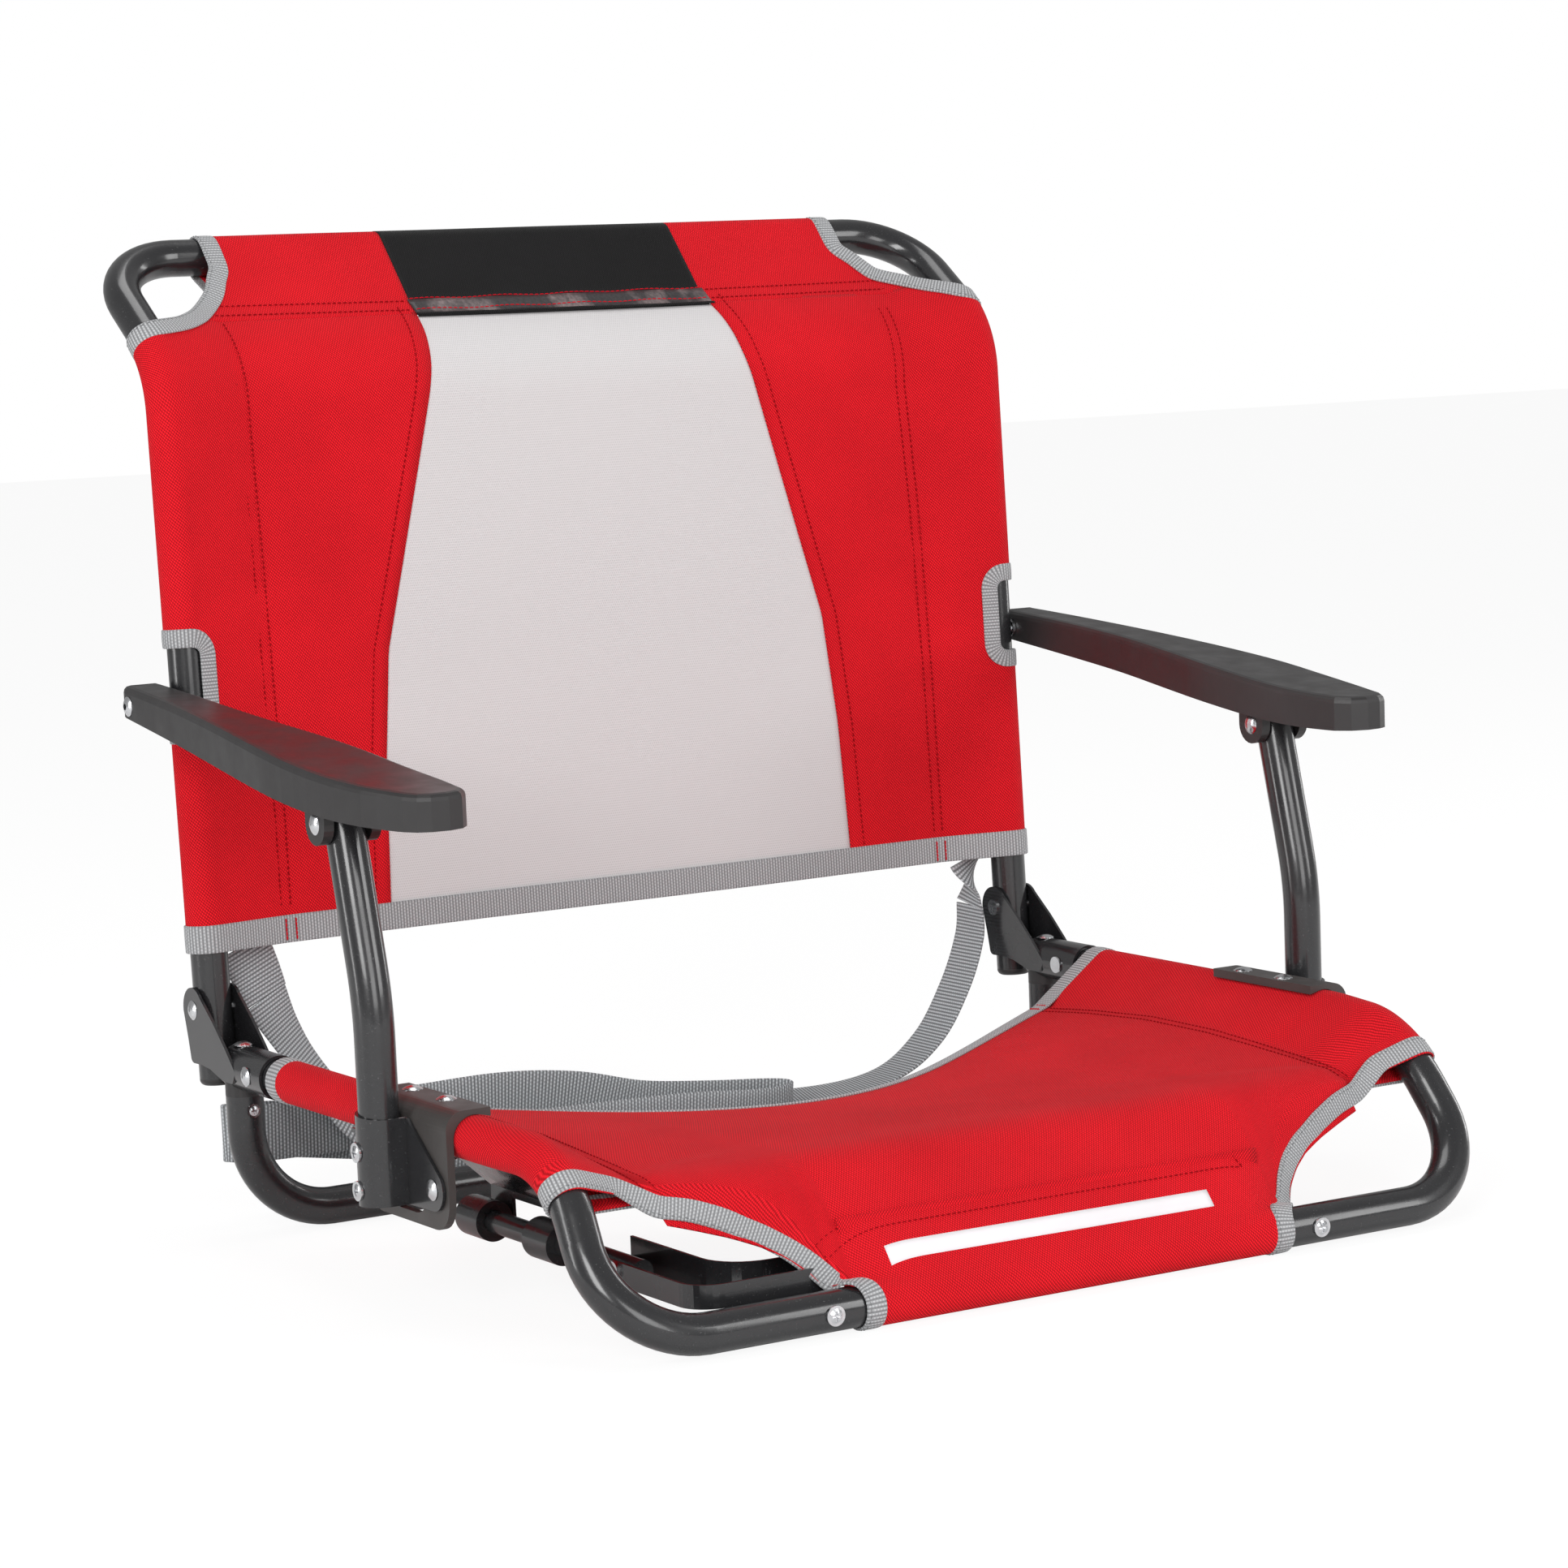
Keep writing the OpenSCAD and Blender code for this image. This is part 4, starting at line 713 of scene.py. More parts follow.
def slot_ends(profile):
    """First and last points of a sleeve profile in the opening for the arm pivot."""
    found = [j for j, p in enumerate(profile) if p[0] > SLOT_INNER]
    return found[0], found[-1]


def panel_heights(low, high):
    steps = list(np.arange(low, KINK_Z0 - 6, 5.0)) + list(np.linspace(KINK_Z0 - 5, KINK_Z1, 16))
    steps += list(np.linspace(KINK_Z1, high, 4)[1:]) + list(SLOT_Z)
    return sorted(set(round(float(z), 3) for z in steps if low <= z <= high))


def panel_fold(dx, z, wave):
    """Small height of the side panel's folds, creases and sewn grooves."""
    beside = dx + SEAM_IN
    inside = 1 - min(1, abs(beside) / 60.0)
    fold = wave * 0.5
    for size, slant, period, middle, reach in CREASES:
        fold += size * inside * math.sin((z + dx * slant) / period) * bell(z - middle, reach)
    fold += 0.3 * inside * math.sin(z / 3.1 + 0.8 * math.sin(z / 17.0)) * bell(beside, 9.0)
    fold -= 0.5 * bell(beside, 1.4) + 0.3 * bell(beside + 5.5, 1.2)
    return fold * 0.3 if z > 440 else fold


# ---- the back's cloth
def back_panel(s):
    noise = soft_noise(11 if s > 0 else 12)
    zs = panel_heights(HEM_Z + 1.5, PANEL_TOP)
    along = lengths(np.array([on_back(0, z, 0) for z in zs]))
    rows, flats = [], []
    for z, v in zip(zs, along):
        inner = mesh_x(z) - 2.0
        profile = sleeve_profile(inner)
        row, flat = [], []
        for (dx, dz), u in zip(profile, lengths(profile * MM) + inner * MM):
            top = min(PANEL_TOP, edge_z(s, XH + dx) + 1.5)
            share = max(0, z - SQUEEZE_Z) / (PANEL_TOP - SQUEEZE_Z)
            h = SQUEEZE_Z + share * (top - SQUEEZE_Z) if z > SQUEEZE_Z else z
            fold = panel_fold(dx, z, noise(u, v)) if dx < -2 and dz >= 0 else 0.0
            row.append(on_back(s * (XH + dx), h, dz + fold))
            flat.append((s * u, v))
        rows.append(row)
        flats.append(flat)
    rows, flats = np.array(rows), np.array(flats)
    first, last = slot_ends(sleeve_profile(140.0))
    low, high = (zs.index(z) for z in SLOT_Z)
    patch = Patch()
    for part in (np.s_[:low + 1], np.s_[high:], np.s_[low:high + 1, :first + 1], np.s_[low:high + 1, last:]):
        patch.grid(rows[part], flats[part], s < 0)
    obj = patch.cloth(sided("panel", s), "red_cloth", "back")
    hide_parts("back_panel_right" if s > 0 else "back_panel_left")
    return obj


def top_profile(z0, steps=24):
    """Depth and height of the cloth from z0 up, over the top bar and back to the seam."""
    seam = np.array([panel_y(SEAM_Z), SEAM_Z])
    line = heading(TOP_BAR - seam)
    a = 90 + math.degrees(math.asin(SLEEVE_R / math.hypot(*(TOP_BAR - seam))))
    arc = [TOP_BAR + polar(w, SLEEVE_R) for w in np.linspace(line + a, line - a, steps)]
    points = [np.array([panel_y(z), z]) for z in np.linspace(z0, SEAM_Z, 5)]
    points += between(seam, arc[0], 8)[:-1] + arc + between(arc[-1], seam + (1.7, -1.2), 8)
    return np.array(points)


def top_cloth(name, x0, x1, z0, mat, columns, seed, share=0.25):
    """Cloth over the top bar, cut back beside the corner where it reaches past the band."""
    profile = top_profile(z0)
    noise = soft_noise(seed)
    rows, flats = [], []
    front = int(np.argmax(profile[:, 1] > TOP_BAR[1]))
    for k, (p, n, v) in enumerate(zip(profile, flat_normals(profile), lengths(profile * MM))):
        ends = [x0, x1]
        for j, x in enumerate(ends):
            if abs(x) > BAND_X:
                s = 1 if j else -1
                ends[j] = s * (edge_x(s, p[1]) + 1.5 if k < front else TOP_END - 3)
        xs = np.linspace(ends[0], ends[1], columns)
        fold = [noise(x * MM, v) * share + SPREAD_OUT * max(0, abs(x) - SEAM_X) for x in xs]
        rows.append([np.array([x, p[0] + n[0] * f, p[1] + n[1] * f]) * MM for x, f in zip(xs, fold)])
        flats.append([(x * MM, v + 0.31) for x in xs])
    return grid_cloth(name, rows, flats, mat, "back")


def corner_binding(s):
    """Tape on the top corner cut-out: round the side sleeve, along the edge and round the top sleeve."""
    line, normal = [], []
    for dx, dz in sleeve_section(26)[::-1]:
        if (dx < -SEAM_IN + 14 and dz < 0) or (dx < -4 and dz >= 0):
            continue
        z = edge_z(s, XH + dx)
        r = sleeve_normal(dx, dz)
        line.append(on_back(s * (XH + dx), z, dz))
        normal.append(front_of(z, r[1], s * r[0]))
    for x in np.linspace(238, 203, 16):
        z = edge_z(s, x)
        line.append(on_back(s * x, z, SPREAD_OUT * max(0, x - SEAM_X) + 0.5))
        normal.append(front_of(z, 1.0, -s * 0.2))
    top = top_profile(SEAM_Z)[5:]
    for p, n in list(zip(top, flat_normals(top)))[:-4]:
        front = n[0] < 0 and p[1] < 481
        x = edge_x(s, p[1]) if front else TOP_END - 4.0
        out = SPREAD_OUT * max(0, x - SEAM_X) + (0.4 if front else 0.0)
        line.append(np.array([s * x, p[0] + n[0] * out, p[1] + n[1] * out]) * MM)
        normal.append(np.array([0, n[0], n[1]]))
    line, normal = spread(line, normal, 150, 10)
    return tape(sided("corner_binding", s), line, normal, *CORNER_TAPE, "back", seed=5), line, normal


def slot_binding(s):
    """Tape round the opening for the arm pivot."""
    profile = sleeve_profile(SEAM_X - 1, steps=60)
    at = lengths(profile)
    u0, u1 = at[list(slot_ends(profile))]
    z0, z1 = SLOT_Z
    r = SLOT_ROUND
    loop = []
    u0, u1, z0, z1 = u0 + r, u1 - r, z0 + r, z1 - r
    for u, z, w0 in ((u1, z1, 0), (u0, z1, 90), (u0, z0, 180), (u1, z0, 270)):
        loop += [polar(w, r) + (u, z) for w in np.linspace(w0, w0 + 90, 9)]
    line, normal = [], []
    for u, z in resample(loop + loop[:1], 141)[:-1]:
        dx, dz = pick(u, at, profile)
        ahead = unit(pick(u + 0.5, at, profile) - (dx, dz))
        line.append(on_back(s * (XH + dx), z, dz))
        normal.append(front_of(z, ahead[0], -s * ahead[1]))
    return tape(sided("slot_binding", s), line, normal, *SLOT_TAPE, "back", closed=True)


def mesh_panel():
    noise = soft_noise(21)
    zs = panel_heights(HEM_Z + 2, 455.5)
    along = lengths(np.array([on_back(0, z, 0) for z in zs]))
    rows, flats = [], []
    for z, v in zip(zs, along):
        half = mesh_x(z) + 1.0
        xs = np.linspace(-half, half, 44)
        belly = [(1 - (x / half) ** 2) for x in xs]
        rows.append([on_back(x, z, -0.7 - 0.6 * b + noise(x * MM, v) * 0.35 * b) for x, b in zip(xs, belly)])
        flats.append([(x * MM, v) for x in xs])
    obj = grid_cloth("mesh_panel", rows, flats, "pale_mesh", "back", thick=0.0007)
    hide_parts("back_mesh")
    return obj


def hem_binding():
    """Wide tape folded over the lower hem, round both tubes."""
    right = [(x, 0.0) for x in np.linspace(0, SEAM_X, 60)[:-1]]
    right += [(XH + dx, dz) for dx, dz in sleeve_section(26)]
    path = np.array([(-x, d) for x, d in right[:0:-1]] + right)
    z = HEM_Z + HEM_H / 2 + 0.3
    line = [on_back(x, z, d) for x, d in path]
    line, normal = spread(line, [front_of(z, n[1], n[0]) for n in flat_normals(path)], 420, 0)
    obj = tape("hem_binding", line, normal, *HEM_TAPE, "back", crown=0.05)
    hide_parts("back_hem_binding")
    return obj


# ---- the seat's sizes, in millimetres
RAIL_Z = 86.6
TOE_Y = -118
TOE_R = 150
TURN = np.array([238.0, -176.0, 84.6])
TURN_R = 60
FRONT_BAR = np.array([-230.5, 10.75])
CORNER = np.array([246.5, -230.5, 10.75])
SEAT_REAR = 92
SEAT_DIP = -3
REAR_ROLL = 4
REAR_ROLL_L = 40
FRONT_X = 120
FRONT_SEAM = 40
SLEEVE_END_A = 43
EDGE_REACH = 46
CLOTH_INSET = 1.5
TAPE_T = 0.0014
SEAT_TAPE = 10.5
REAR_TAPE = 11
# depth and drop below the rails, at the seam beside them and in the middle
SEAM_DROP = (
    (-240, 9), (-200, 11), (-168, 13.5), (-122, 12), (-75, 9), (-20, 8.5), (30, 11.5), (80, 16), (92, 17),
)
MIDDLE_DROP = ((-240, 9), (-176, 13), (-120, 18), (-16, 26), (24, 29), (60, 32), (92, 34))
STRIP_X = (-100, 80.5)
STRIP_Y = -223.8
STRIP_H = 6
# the free front corner: depth and place across where the sheet is lowest, and the tape's middle
CUT_X = (
    (-240, 118), (-231, 122.5), (-223, 127.5), (-215, 134), (-208.4, 142), (-203, 153), (-199.8, 164),
    (-194, 190), (-188, 212),
)
CUT = np.array([
    (117, -238.7), (121, -231), (126, -223), (133, -215), (142, -208.4), (153, -203), (166, -198.6),
    (183, -194), (201, -189.5),
])
SEAT_NOISE = soft_noise(31)


def bend_points(a, b, c, r, count, upto=None):
    """Points round the bend at b, from its start to an angle or to its end."""
    d, e = unit(b - a), unit(c - b)
    angle = math.degrees(math.acos(float(d @ e)))
    n = unit(e - (d @ e) * d)
    o = b - d * r * math.tan(math.radians(angle / 2)) + n * r
    return [o - n * r * cosd(w) + d * r * sind(w) for w in np.linspace(0, upto or angle, count)]


def rail_path(upto):
    a = np.array([XH, SEAT_REAR + 1, RAIL_Z])
    b = np.array([XH, TOE_Y, RAIL_Z])
    start = np.array([XH, 150.0, RAIL_Z])
    toe = bend_points(start, b, TURN, TOE_R, 7)
    return np.array([a] + toe + bend_points(b, TURN, CORNER, TURN_R, 60, upto))


RAIL_ALL = np.array(list(rail_path(None)) + [CORNER + (CORNER - TURN) * t for t in (0, 0.2)])
RAIL_ALL = RAIL_ALL[np.argsort(RAIL_ALL[:, 1])]
RAIL_SLEEVE = rail_path(SLEEVE_END_A)
RAIL_AT = lengths(RAIL_SLEEVE)
BEND_START_Y = bend_points(np.array([XH, TOE_Y, RAIL_Z]), TURN, CORNER, TURN_R, 2)[0][1]
FRONT_SLOPE = math.atan2(TURN[2] - CORNER[2], TURN[1] - CORNER[1])
FRONT_UP = np.array([-math.sin(FRONT_SLOPE), math.cos(FRONT_SLOPE)])
FRONT_BACK = np.array([math.cos(FRONT_SLOPE), math.sin(FRONT_SLOPE)])
TOUCH = FRONT_BAR + SLEEVE_R * FRONT_UP
TOUCH_A = 90 + math.degrees(FRONT_SLOPE)
FRONT_HEAD = SLEEVE_R * FRONT_UP + FRONT_SEAM * FRONT_BACK
LEAVE_A = 360 + 2 * heading(FRONT_HEAD) - TOUCH_A


def rail_z(y):
    return float(np.interp(y, RAIL_ALL[:, 1], RAIL_ALL[:, 2]))


def over_bar(y):
    """Share of the way from the rails' front bends to where the sheet touches the front bar."""
    return ease((y - BEND_START_Y) / (TOUCH[0] - BEND_START_Y))


def rear_edge(x):
    s = ease(abs(x) / 236.0)
    return SEAT_DIP * (1 - s) + SEAT_REAR * s


def seat_z(x, y):
    """Height of the sheet between the rails, without its folds."""
    x = abs(x)
    across = min(1, x / SEAM_X) ** 2
    drop = table(SEAM_DROP, y)
    drop += (table(MIDDLE_DROP, y) - drop) * (1 - across)
    curl = max(0, 1 - (rear_edge(x) - y) / REAR_ROLL_L)
    drop += REAR_ROLL * curl * curl * (1 - across * across)
    near = min(1, max(0, (x - table(CUT_X, y) + EDGE_REACH) / EDGE_REACH))
    lift = SLEEVE_R / math.cos(FRONT_SLOPE) * (1 - 1.1 * near * near * near)
    s = over_bar(y)
    z = rail_z(y) - drop * (1 - s) + lift * s
    off = abs(y - FRONT_BAR[0])
    if x < 150 and off < SLEEVE_R:
        return max(z, FRONT_BAR[1] + math.sqrt(SLEEVE_R ** 2 - off ** 2) + 0.2)
    return z


def seat_up(x, y):
    return unit(np.array([seat_z(x - 1, y) - seat_z(x + 1, y), seat_z(x, y - 1) - seat_z(x, y + 1), 2.0]))


def seat_fold(x, y):
    """Small height of the sheet's folds: soft waves, and tension creases from the front corners."""
    f = SEAT_NOISE(x * MM, y * MM) * 0.45
    for s in SIDES:
        dx, dy = x - s * 196, y + 176
        along = -(s * dx) * 0.94 + dy * 0.34
        off = (s * dx) * 0.34 + dy * 0.94
        if along > 0:
            start = min(1, along / 12.0)
            f += 0.9 * bell(off, 7.0) * math.exp(-along / 60.0) * start
            f -= 0.6 * bell(off - 14, 8.0) * math.exp(-along / 70.0) * start
    return f


def seat_point(x, y, h=0.0):
    return (np.array([x, y, seat_z(x, y)]) + seat_up(x, y) * (h + seat_fold(x, y))) * MM


def corner_xy(v, inset):
    """A place on the front corner's cut, with the given distance inside it."""
    last = len(CUT) - 1
    steps = np.arange(len(CUT))
    s = v * last
    x, y = pick(s, steps, CUT)
    ahead = unit(pick(min(s + 0.5, last), steps, CUT) - pick(max(s - 0.5, 0), steps, CUT))
    inward = inset - SEAT_TAPE / 2
    near = min(1, v * 6)
    x = (FRONT_X - inset) * (1 - near) + (x - ahead[1] * inward) * near
    return x, max(y + ahead[0] * inward, TOUCH[0] + 0.02 + 4 * v)


# ---- the seat's cloth
def sleeve_places(share, skip=0, stop=None, shift=0.0):
    """Points round the rail and their normals, from the seam over the tube and back under the seam."""
    end = RAIL_AT[-1]
    g = share * end
    place, after, before = (pick(k, RAIL_AT, RAIL_SLEEVE) for k in (g, min(g + 1, end), max(g - 1, 0)))
    place = place - (0, shift, 0)
    ahead = unit(after - before)
    side = unit(np.cross([0, 0, 1], ahead))
    up = np.cross(ahead, side)
    turn = math.asin(table(SEAM_DROP, place[1]) * (1 - over_bar(place[1])) / SEAM_IN)
    out = side * math.cos(turn) + up * math.sin(turn)
    top = up * math.cos(turn) - side * math.sin(turn)
    found = []
    for dx, dz in np.concatenate([[[-SEAM_IN, 0.0]], sleeve_section(24)])[skip:stop]:
        r = sleeve_normal(dx, dz)
        found.append(((place + out * dx + top * dz) * MM, out * r[0] + top * r[1]))
    return place, found


def seat_cloth():
    """The whole seat: sheet between the seams, both rail sleeves and the sleeve round the front bar."""
    shares = np.concatenate([np.linspace(0, 0.62, 40), np.linspace(0.62, 1, 44)[1:]])
    centre = [(x, TOUCH[0]) for x in np.linspace(0, FRONT_X - CLOTH_INSET, 18)]
    corner = [(v, corner_xy(v, CLOTH_INSET)) for v in np.linspace(0, 1, 22)[1:-1]]
    ends = centre + [(min(x, SEAM_X - 4 * (1 - v)), y) for v, (x, y) in corner]
    y_first, y_last = SEAT_REAR - CLOTH_INSET, RAIL_SLEEVE[-1][1]
    rows = []
    for f in shares:
        place, ring = sleeve_places(f)
        g = min(1, max(0, (y_first - place[1]) / (y_first - y_last)))
        row = [seat_point(x, (rear_edge(x) - CLOTH_INSET) * (1 - g) + y * g) for x, y in ends]
        rows.append(row + [q for q, n in ring])
    rows = np.array(rows)
    flats = np.zeros(rows.shape[:2] + (2,))
    for i in range(rows.shape[0]):
        flats[i, :, 0] = lengths(rows[i])
    for j in range(rows.shape[1]):
        flats[:, j, 1] = rows[0, j, 1] - lengths(rows[:, j])
    patch = Patch()
    for s in (1, -1):
        patch.grid(rows * (s, 1, 1), flats * (s, 1), s < 0)
    profile = [FRONT_BAR + polar(w, SLEEVE_R) for w in np.linspace(TOUCH_A, LEAVE_A, 40)]
    profile += between(profile[-1], FRONT_BAR + FRONT_HEAD - 1.6 * FRONT_UP, 12)
    down = lengths(np.array(profile) * MM)
    first = flats[-1, :len(centre)]
    for s in (1, -1):
        grid = np.array([[np.array([s * x, q[0], q[1]]) * MM for x, _ in centre] for q in profile])
        grid[0] = rows[-1, :len(centre)] * (s, 1, 1)
        uv = np.array([[(s * u, w - v) for u, w in first] for v in down])
        patch.grid(grid, uv, s < 0)
    obj = patch.cloth("seat_cloth", "red_cloth", "seat")
    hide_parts("seat_sling")
    return obj


def seat_corner_tape(s):
    """Tape on the seat's free front corner: round the bar's sleeve, up the edge and round the rail's."""
    line, normal = [], []
    back = SEAT_TAPE / 2 - 0.5
    for w in np.linspace(LEAVE_A, TOUCH_A, 30):
        r = polar(w)
        line.append(np.array([FRONT_X - back, *(FRONT_BAR + SLEEVE_R * r)]) * MM)
        normal.append(np.array([0, *r]))
    for v in np.linspace(0.08, 0.98, 30):
        x, y = corner_xy(v, SEAT_TAPE / 2)
        line.append(seat_point(x, y, 0.3))
        normal.append(seat_up(x, y))
    for q, n in sleeve_places(1 - back / RAIL_AT[-1], skip=4)[1]:
        line.append(q)
        normal.append(n)
    line, normal = spread(line, normal, 200, 10)
    line[:, 0] *= s
    normal[:, 0] *= s
    obj = tape(sided("seat_corner", s), line, normal, SEAT_TAPE * MM, TAPE_T, "seat", seed=3 + s)
    return obj, line, normal


def seat_rear_tape():
    """Tape along the seat's rear edge, round both rails' sleeves."""
    half = []
    for x in np.linspace(0, SEAM_X - 2, 60):
        y = rear_edge(x) - REAR_TAPE / 2 + 0.5
        half.append((seat_point(x, y, 0.3), seat_up(x, y)))
    half += sleeve_places(0, skip=2, stop=-2, shift=REAR_TAPE / 2 + 0.5)[1]
    flip = np.array([-1, 1, 1])
    both = [np.concatenate([(part * flip)[:0:-1], part]) for part in map(np.array, zip(*half))]
    line, normal = spread(*both, 420, 6)
    obj = tape("seat_rear_tape", line, normal, REAR_TAPE * MM, TAPE_T, "seat", seed=9)
    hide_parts("seat_rear_binding")
    return obj


# ---- carrying strap
# places in millimetres, and the heading and rise of the strap's width in degrees
SPLIT = 113
STRAP_LEFT = ((-222, 184, 141, 0, 0), (-216, 184, 127, 8, 0), (-211, 184, SPLIT + 0.4, 15, 0))
STRAP_RIGHT = ((225, 185, 141, 10, 0), (229, 189, 127, 60, 0), (228, 191, SPLIT + 0.4, 85, 0))
STRAP_LOOP = (
    (-211, 184, SPLIT, 15, 0), (-204, 182, 97, 30, 5), (-194, 178, 78, 45, 15), (-181, 171, 58, 60, 35),
    (-163, 164, 42, 70, 60), (-135, 160, 32, 80, 80), (-93, 158, 26, 90, 90), (-35, 157, 24, 90, 90),
    (20, 157, 22, 90, 90), (62, 159, 18, 90, 90), (86, 164, 17, 90, 90), (92, 171, 18, 90, 90),
    (82, 178, 19, 90, 90), (45, 182, 22, 90, 90), (5, 184, 27, 90, 90), (-35, 185, 37, 90, 90),
    (-80, 185, 42, 90, 90),
    (-140, 183, 42, 90, 90), (-190, 181, 43, 90, 90), (-222, 180, 44, 90, 90), (-236, 185, 45, 90, 90),
    (-231, 193, 44, 90, 90), (-200, 197, 41, 90, 90), (-140, 200, 31, 90, 90), (-60, 203, 21, 90, 75),
    (30, 203, 17, 90, 45), (110, 197, 15, 90, 15), (165, 192, 22, 90, 0), (196, 191, 40, 90, 0),
    (216, 191, 68, 90, 0), (227, 191, 95, 88, 0), (228, 191, SPLIT, 85, 0),
)
STRAP_W = 0.0296
STRAP_T = 0.0015


def spline(points, steps):
    """A smooth curve through rows of numbers."""
    p = np.array(points, float)
    out = []
    for k in range(len(p) - 1):
        a, b, c, d = p[max(k - 1, 0)], p[k], p[k + 1], p[min(k + 2, len(p) - 1)]
        for t in np.arange(steps) / steps:
            second, third = 2 * a - 5 * b + 4 * c - d, 3 * b - a - 3 * c + d
            out.append(0.5 * (2 * b + (c - a) * t + second * t * t + third * t ** 3))
    return np.array(out + [p[-1]])


def strap(name, route, replaced, body):
    p = spline(route, 12)
    line = p[:, :3] * MM
    az, el = np.radians(p[:, 3]), np.radians(p[:, 4])
    wide = np.stack([np.cos(az) * np.cos(el), np.sin(az) * np.cos(el), np.sin(el)], axis=1)
    run = unit(np.gradient(line, axis=0))
    wide = unit(wide - run * (wide * run).sum(1, keepdims=True))
    half, flat, side = STRAP_W / 2, STRAP_W / 2 - 0.0006, STRAP_W / 2 - 0.0002
    section = [(x * flat, STRAP_T / 2) for x in np.linspace(-1, 1, 9)]
    section += [(side, STRAP_T / 4), (half, 0), (side, -STRAP_T / 4)]
    section += [(x * flat, -STRAP_T / 2) for x in np.linspace(1, -1, 9)]
    section = np.array(section + [(-side, -STRAP_T / 4), (-half, 0), (-side, STRAP_T / 4)])
    at = lengths(line)
    shape = loft(line, wide, np.cross(run, wide), section, at, section[:, 0])
    obj = new_object(name, shape, "grey_webbing", body)
    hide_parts(replaced)


# ---- small work on the cloth
def back_line(points, lift):
    """Line and normals on the front of the back, from places across and heights."""
    return np.array([on_back(x, z, lift) for x, z in points]), np.array([front_of(z) for x, z in points])


def seat_line(points, lift):
    """Line and normals on the seat, from places across and depths."""
    line = [seat_point(x, y, lift) for x, y in points]
    return np.array(line), np.array([seat_up(x, y) for x, y in points])


def back_stitches():
    """Double seams beside the uprights and below the top sleeve, and a row outside the mesh's edge."""
    lines = []
    for s in SIDES:
        for off in (-2.7, 2.7):
            lines.append(back_line(resample([(x + off, z) for x, z in SIDE_SEAM[s]], 90), 0.75))
        points = [(s * (mesh_x(z) + 6.5), z) for z in np.linspace(156, 461, 60)]
        lines.append(back_line(resample(points, 90), 0.8))
        for z in (SEAM_Z - 0.6, SEAM_Z - 5.2):
            points = [(s * (BAND_X + 3), z), (s * (edge_x(s, z) - 8), z + 1)]
            lines.append(back_line(resample(points, 60), 0.9))
    return stitches("back_stitches", lines, "red_thread", "back", "red_cloth", **RED_STITCH)


def band_work():
    """Seam strip below the black band, two rows of red thread, and piping at its lower edge."""
    xs = np.linspace(-BAND_X - 1, BAND_X + 2, 60)
    zs = np.linspace(455.5, 463.2, 5)
    rows = [[on_back(x, z, 0.75) for x in xs] for z in zs]
    flats = [[(x * MM, z * MM) for x in xs] for z in zs]
    strip = grid_cloth("band_seam_strip", rows, flats, "dark_net", "back", slot="black_cloth", thick=0.0004)
    lines = []
    for z in (463.4, 457.9):
        wobble = [(x, z + 0.35 * math.sin(x / 7.0)) for x in np.linspace(-BAND_X, BAND_X + 2, 120)]
        lines.append(back_line(wobble, 1.0))
    options = dict(pitch=0.0031, length=0.0029, radius=0.00032)
    thread = stitches("band_thread", lines, "bright_thread", "back", "red_cloth", **options)
    line, normal = back_line([(x, 455.4) for x in np.linspace(-BAND_X - 1, BAND_X + 3, 90)], 0.5)
    edge = tape("band_edge", line, normal, 0.0016, 0.0008, "back", seed=8, mat="black_cloth")
    return [strip, thread, edge]


def seat_stitches():
    """Double seams behind the front bar and beside the rails."""
    lines = [seat_line(resample([(-130, y), (106, y)], 120), 0.75) for y in (-213.0, -217.6)]
    for ends in ([(-130, -212.6), (-126, -217.8)], [(104, -212.6), (107.5, -218)]):
        lines.append(seat_line(resample(ends, 6), 0.75))
    for s in SIDES:
        for off in (2.0, 7.0):
            points = [(s * (SEAM_X - off), y) for y in np.linspace(rear_edge(198) - 12, -184, 90)]
            lines.append(seat_line(points, 0.75))
    return stitches("seat_stitches", lines, "red_thread", "seat", "red_cloth", **RED_STITCH)


def white_strip():
    """Bare strip sewn on the seat's front."""
    xs = np.linspace(*STRIP_X, 60)
    steps = np.linspace(0, 1, 4)
    slant = [0.8 * (x - STRIP_X[0]) / 180 for x in xs]
    rows = [[seat_point(x, STRIP_Y - STRIP_H * k - d, 0.75) for x, d in zip(xs, slant)] for k in steps]
    flats = [[(x * MM, k * 0.012) for x in xs] for k in steps]
    options = dict(slot="red_cloth", thick=0.0003, offset=1.0)
    return grid_cloth("white_strip", rows, flats, "white_strip", "seat", **options)


def bar_tacks():
    """Pairs of dense stitches where the seams end, on the back's hem and on the seat's rear tape."""
    on_hem, on_rear = [], []
    for s in SIDES:
        for off in (-2.8, 2.8):
            points = [(s * 199 + off, z) for z in np.linspace(HEM_Z + 1.5, HEM_Z + HEM_H - 0.5, 8)]
            on_hem.append(back_line(points, 2.25))
        for off in (2.0, 7.5):
            x = s * (SEAM_X - off)
            on_rear.append(seat_line([(x, rear_edge(x) - k) for k in np.linspace(0.8, 11.5, 7)], 1.9))
    hem_part = stitches("hem_tacks", on_hem, "bright_thread", "back", "red_cloth", **TACK)
    rear_part = stitches("rear_tacks", on_rear, "bright_thread", "seat", "red_cloth", **TACK)
    return hem_part, rear_part


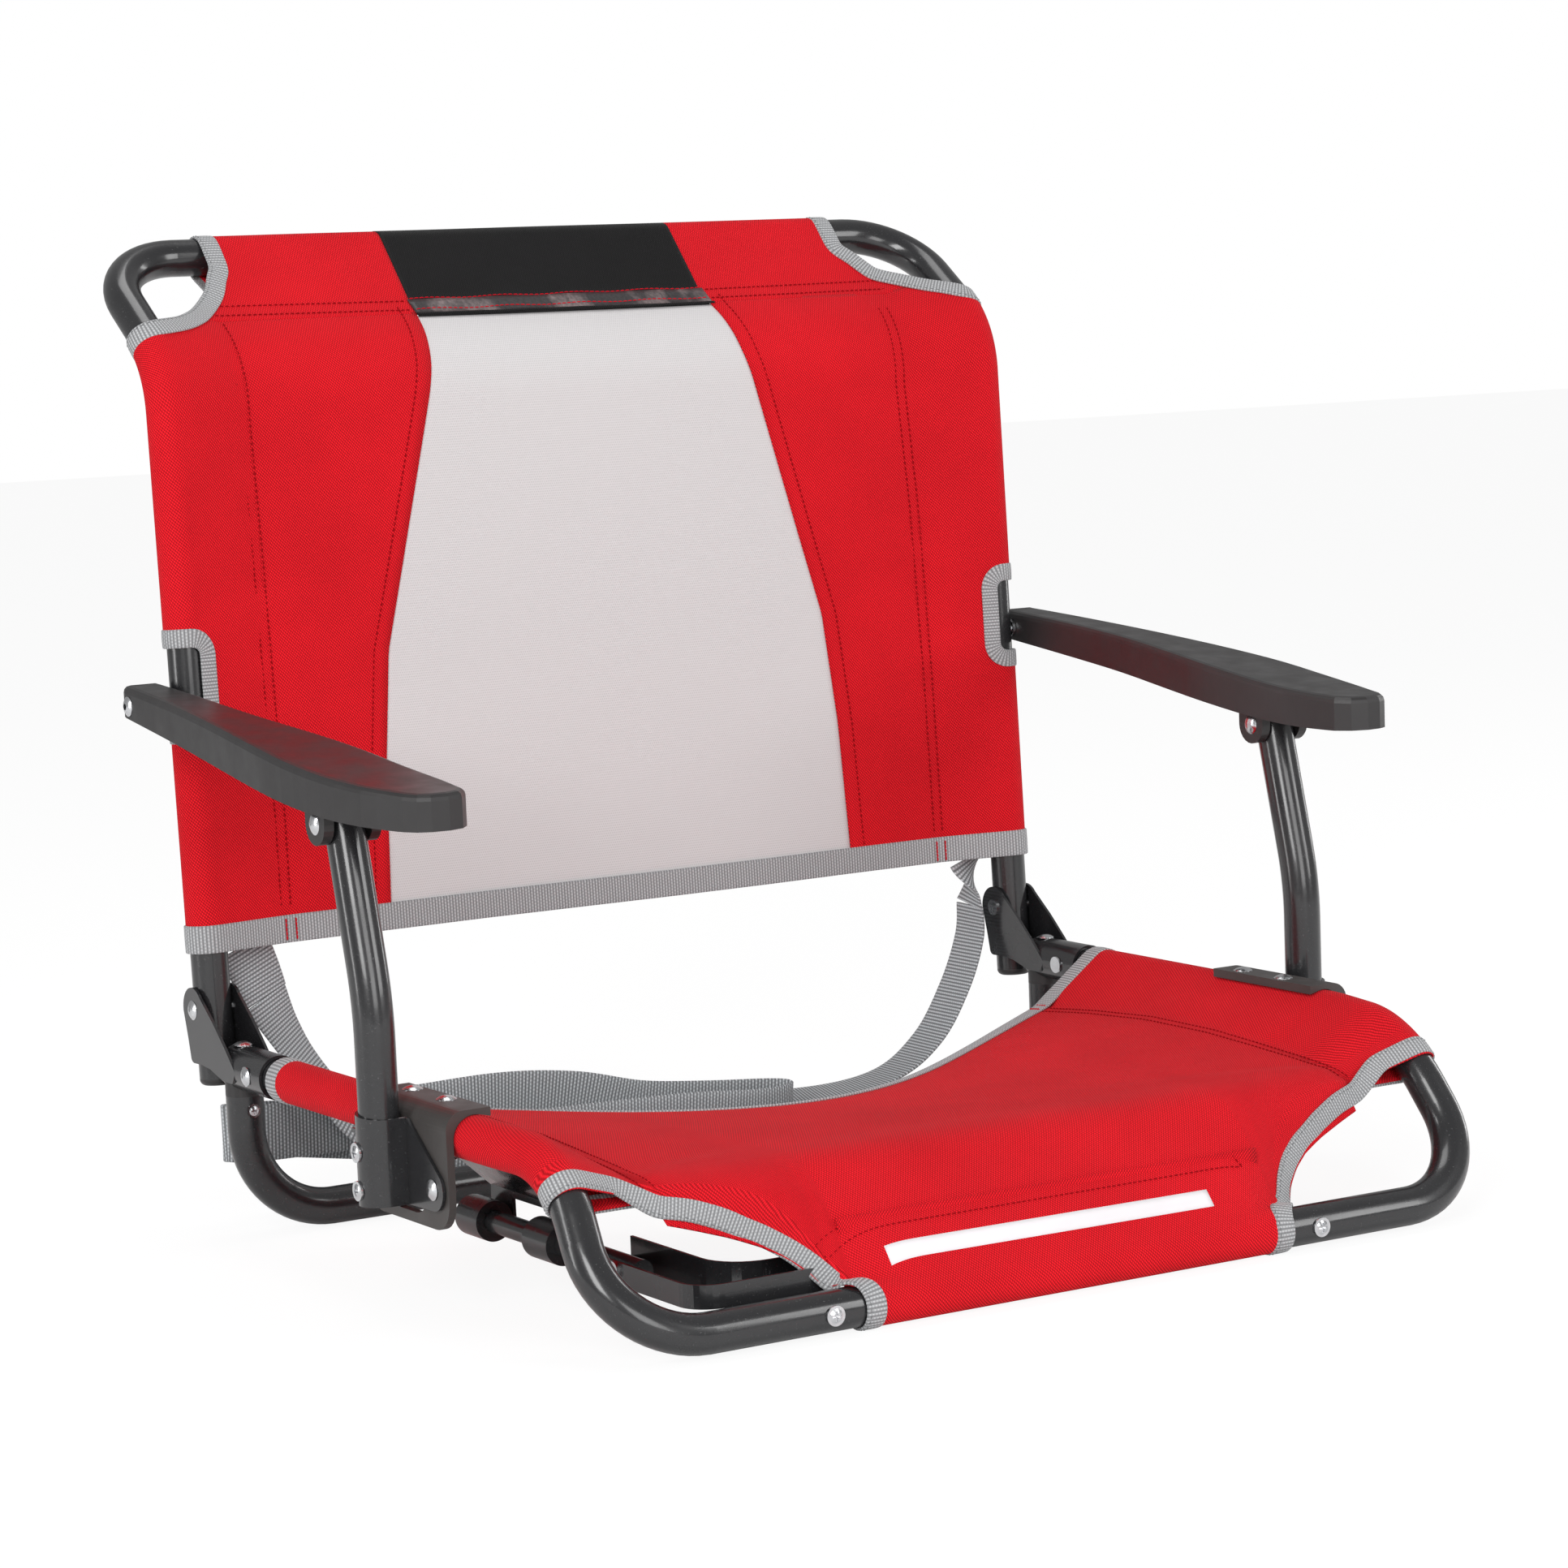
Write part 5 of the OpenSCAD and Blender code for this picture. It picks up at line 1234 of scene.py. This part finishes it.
def tape_stitches(name, found, body, lift):
    """A row of thread along each tape's inner edge."""
    lines = []
    for _, line, normal in found:
        across = unit(np.cross(unit(np.gradient(line, axis=0)), normal))
        lines.append((line - across * 0.0036 + normal * lift, normal))
    return stitches(name, lines, "grey_thread", body, "grey_binding", pitch=0.0032, radius=0.00025)


def declare(obj):
    """Size and area of a sheet's pattern, which its uv map holds in metres; they are worked out and not
    used.
    """
    uv = np.array([loop.uv[:] for loop in obj.data.uv_layers.active.data])
    width, length = (float(x) for x in np.ptp(uv, axis=0))
    area = 0.0
    for face in obj.data.polygons:
        u, v = uv[list(face.loop_indices)].T
        area += 0.5 * abs(float(np.dot(u, np.roll(v, 1)) - np.dot(v, np.roll(u, 1))))
    area = min(area, width * length)


# ---- build
make_camera()
make_light()
make_floor()
cad_materials()

panels = {s: back_panel(s) for s in SIDES}
tops = {}
for s in SIDES:
    ends = sorted((s * BAND_X, s * (TOP_END - 1)))
    tops[s] = top_cloth(sided("top_red", s), *ends, PANEL_TOP - 1, "red_cloth", 40, 41 + s)
mesh_cloth = mesh_panel()
band = top_cloth("top_band", -BAND_X, BAND_X, BAND_LOW, "black_cloth", 70, 51, 0.6)
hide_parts("back_top_band")
corners = [corner_binding(s) for s in SIDES]
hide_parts("back_corner_bindings")
for s in SIDES:
    slot_binding(s)
hem = hem_binding()
seat = seat_cloth()
seat_corners = [seat_corner_tape(s) for s in SIDES]
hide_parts("seat_corner_bindings")
rear = seat_rear_tape()
strap("strap_web", STRAP_LOOP, "strap_loop", "seat")
strap("strap_tail_left", STRAP_LEFT, "strap_end_left", "back")
strap("strap_tail_right", STRAP_RIGHT, "strap_end_right", "back")

on_panels = [back_stitches()]
on_band = band_work()
on_seat = [seat_stitches(), white_strip(), rear]
hem_tacks, rear_tacks = bar_tacks()
on_seat += [rear_tacks] + [c[0] for c in seat_corners]
on_panels += [hem_tacks, hem] + [c[0] for c in corners]
declare(panels[-1])
for piece in (panels[1], tops[-1], tops[1], mesh_cloth):
    declare(piece)
declare(band)
declare(seat)
tape_stitches("seat_tape_thread", seat_corners, "seat", 0.00145)
tape_stitches("back_tape_thread", corners, "back", 0.00135)
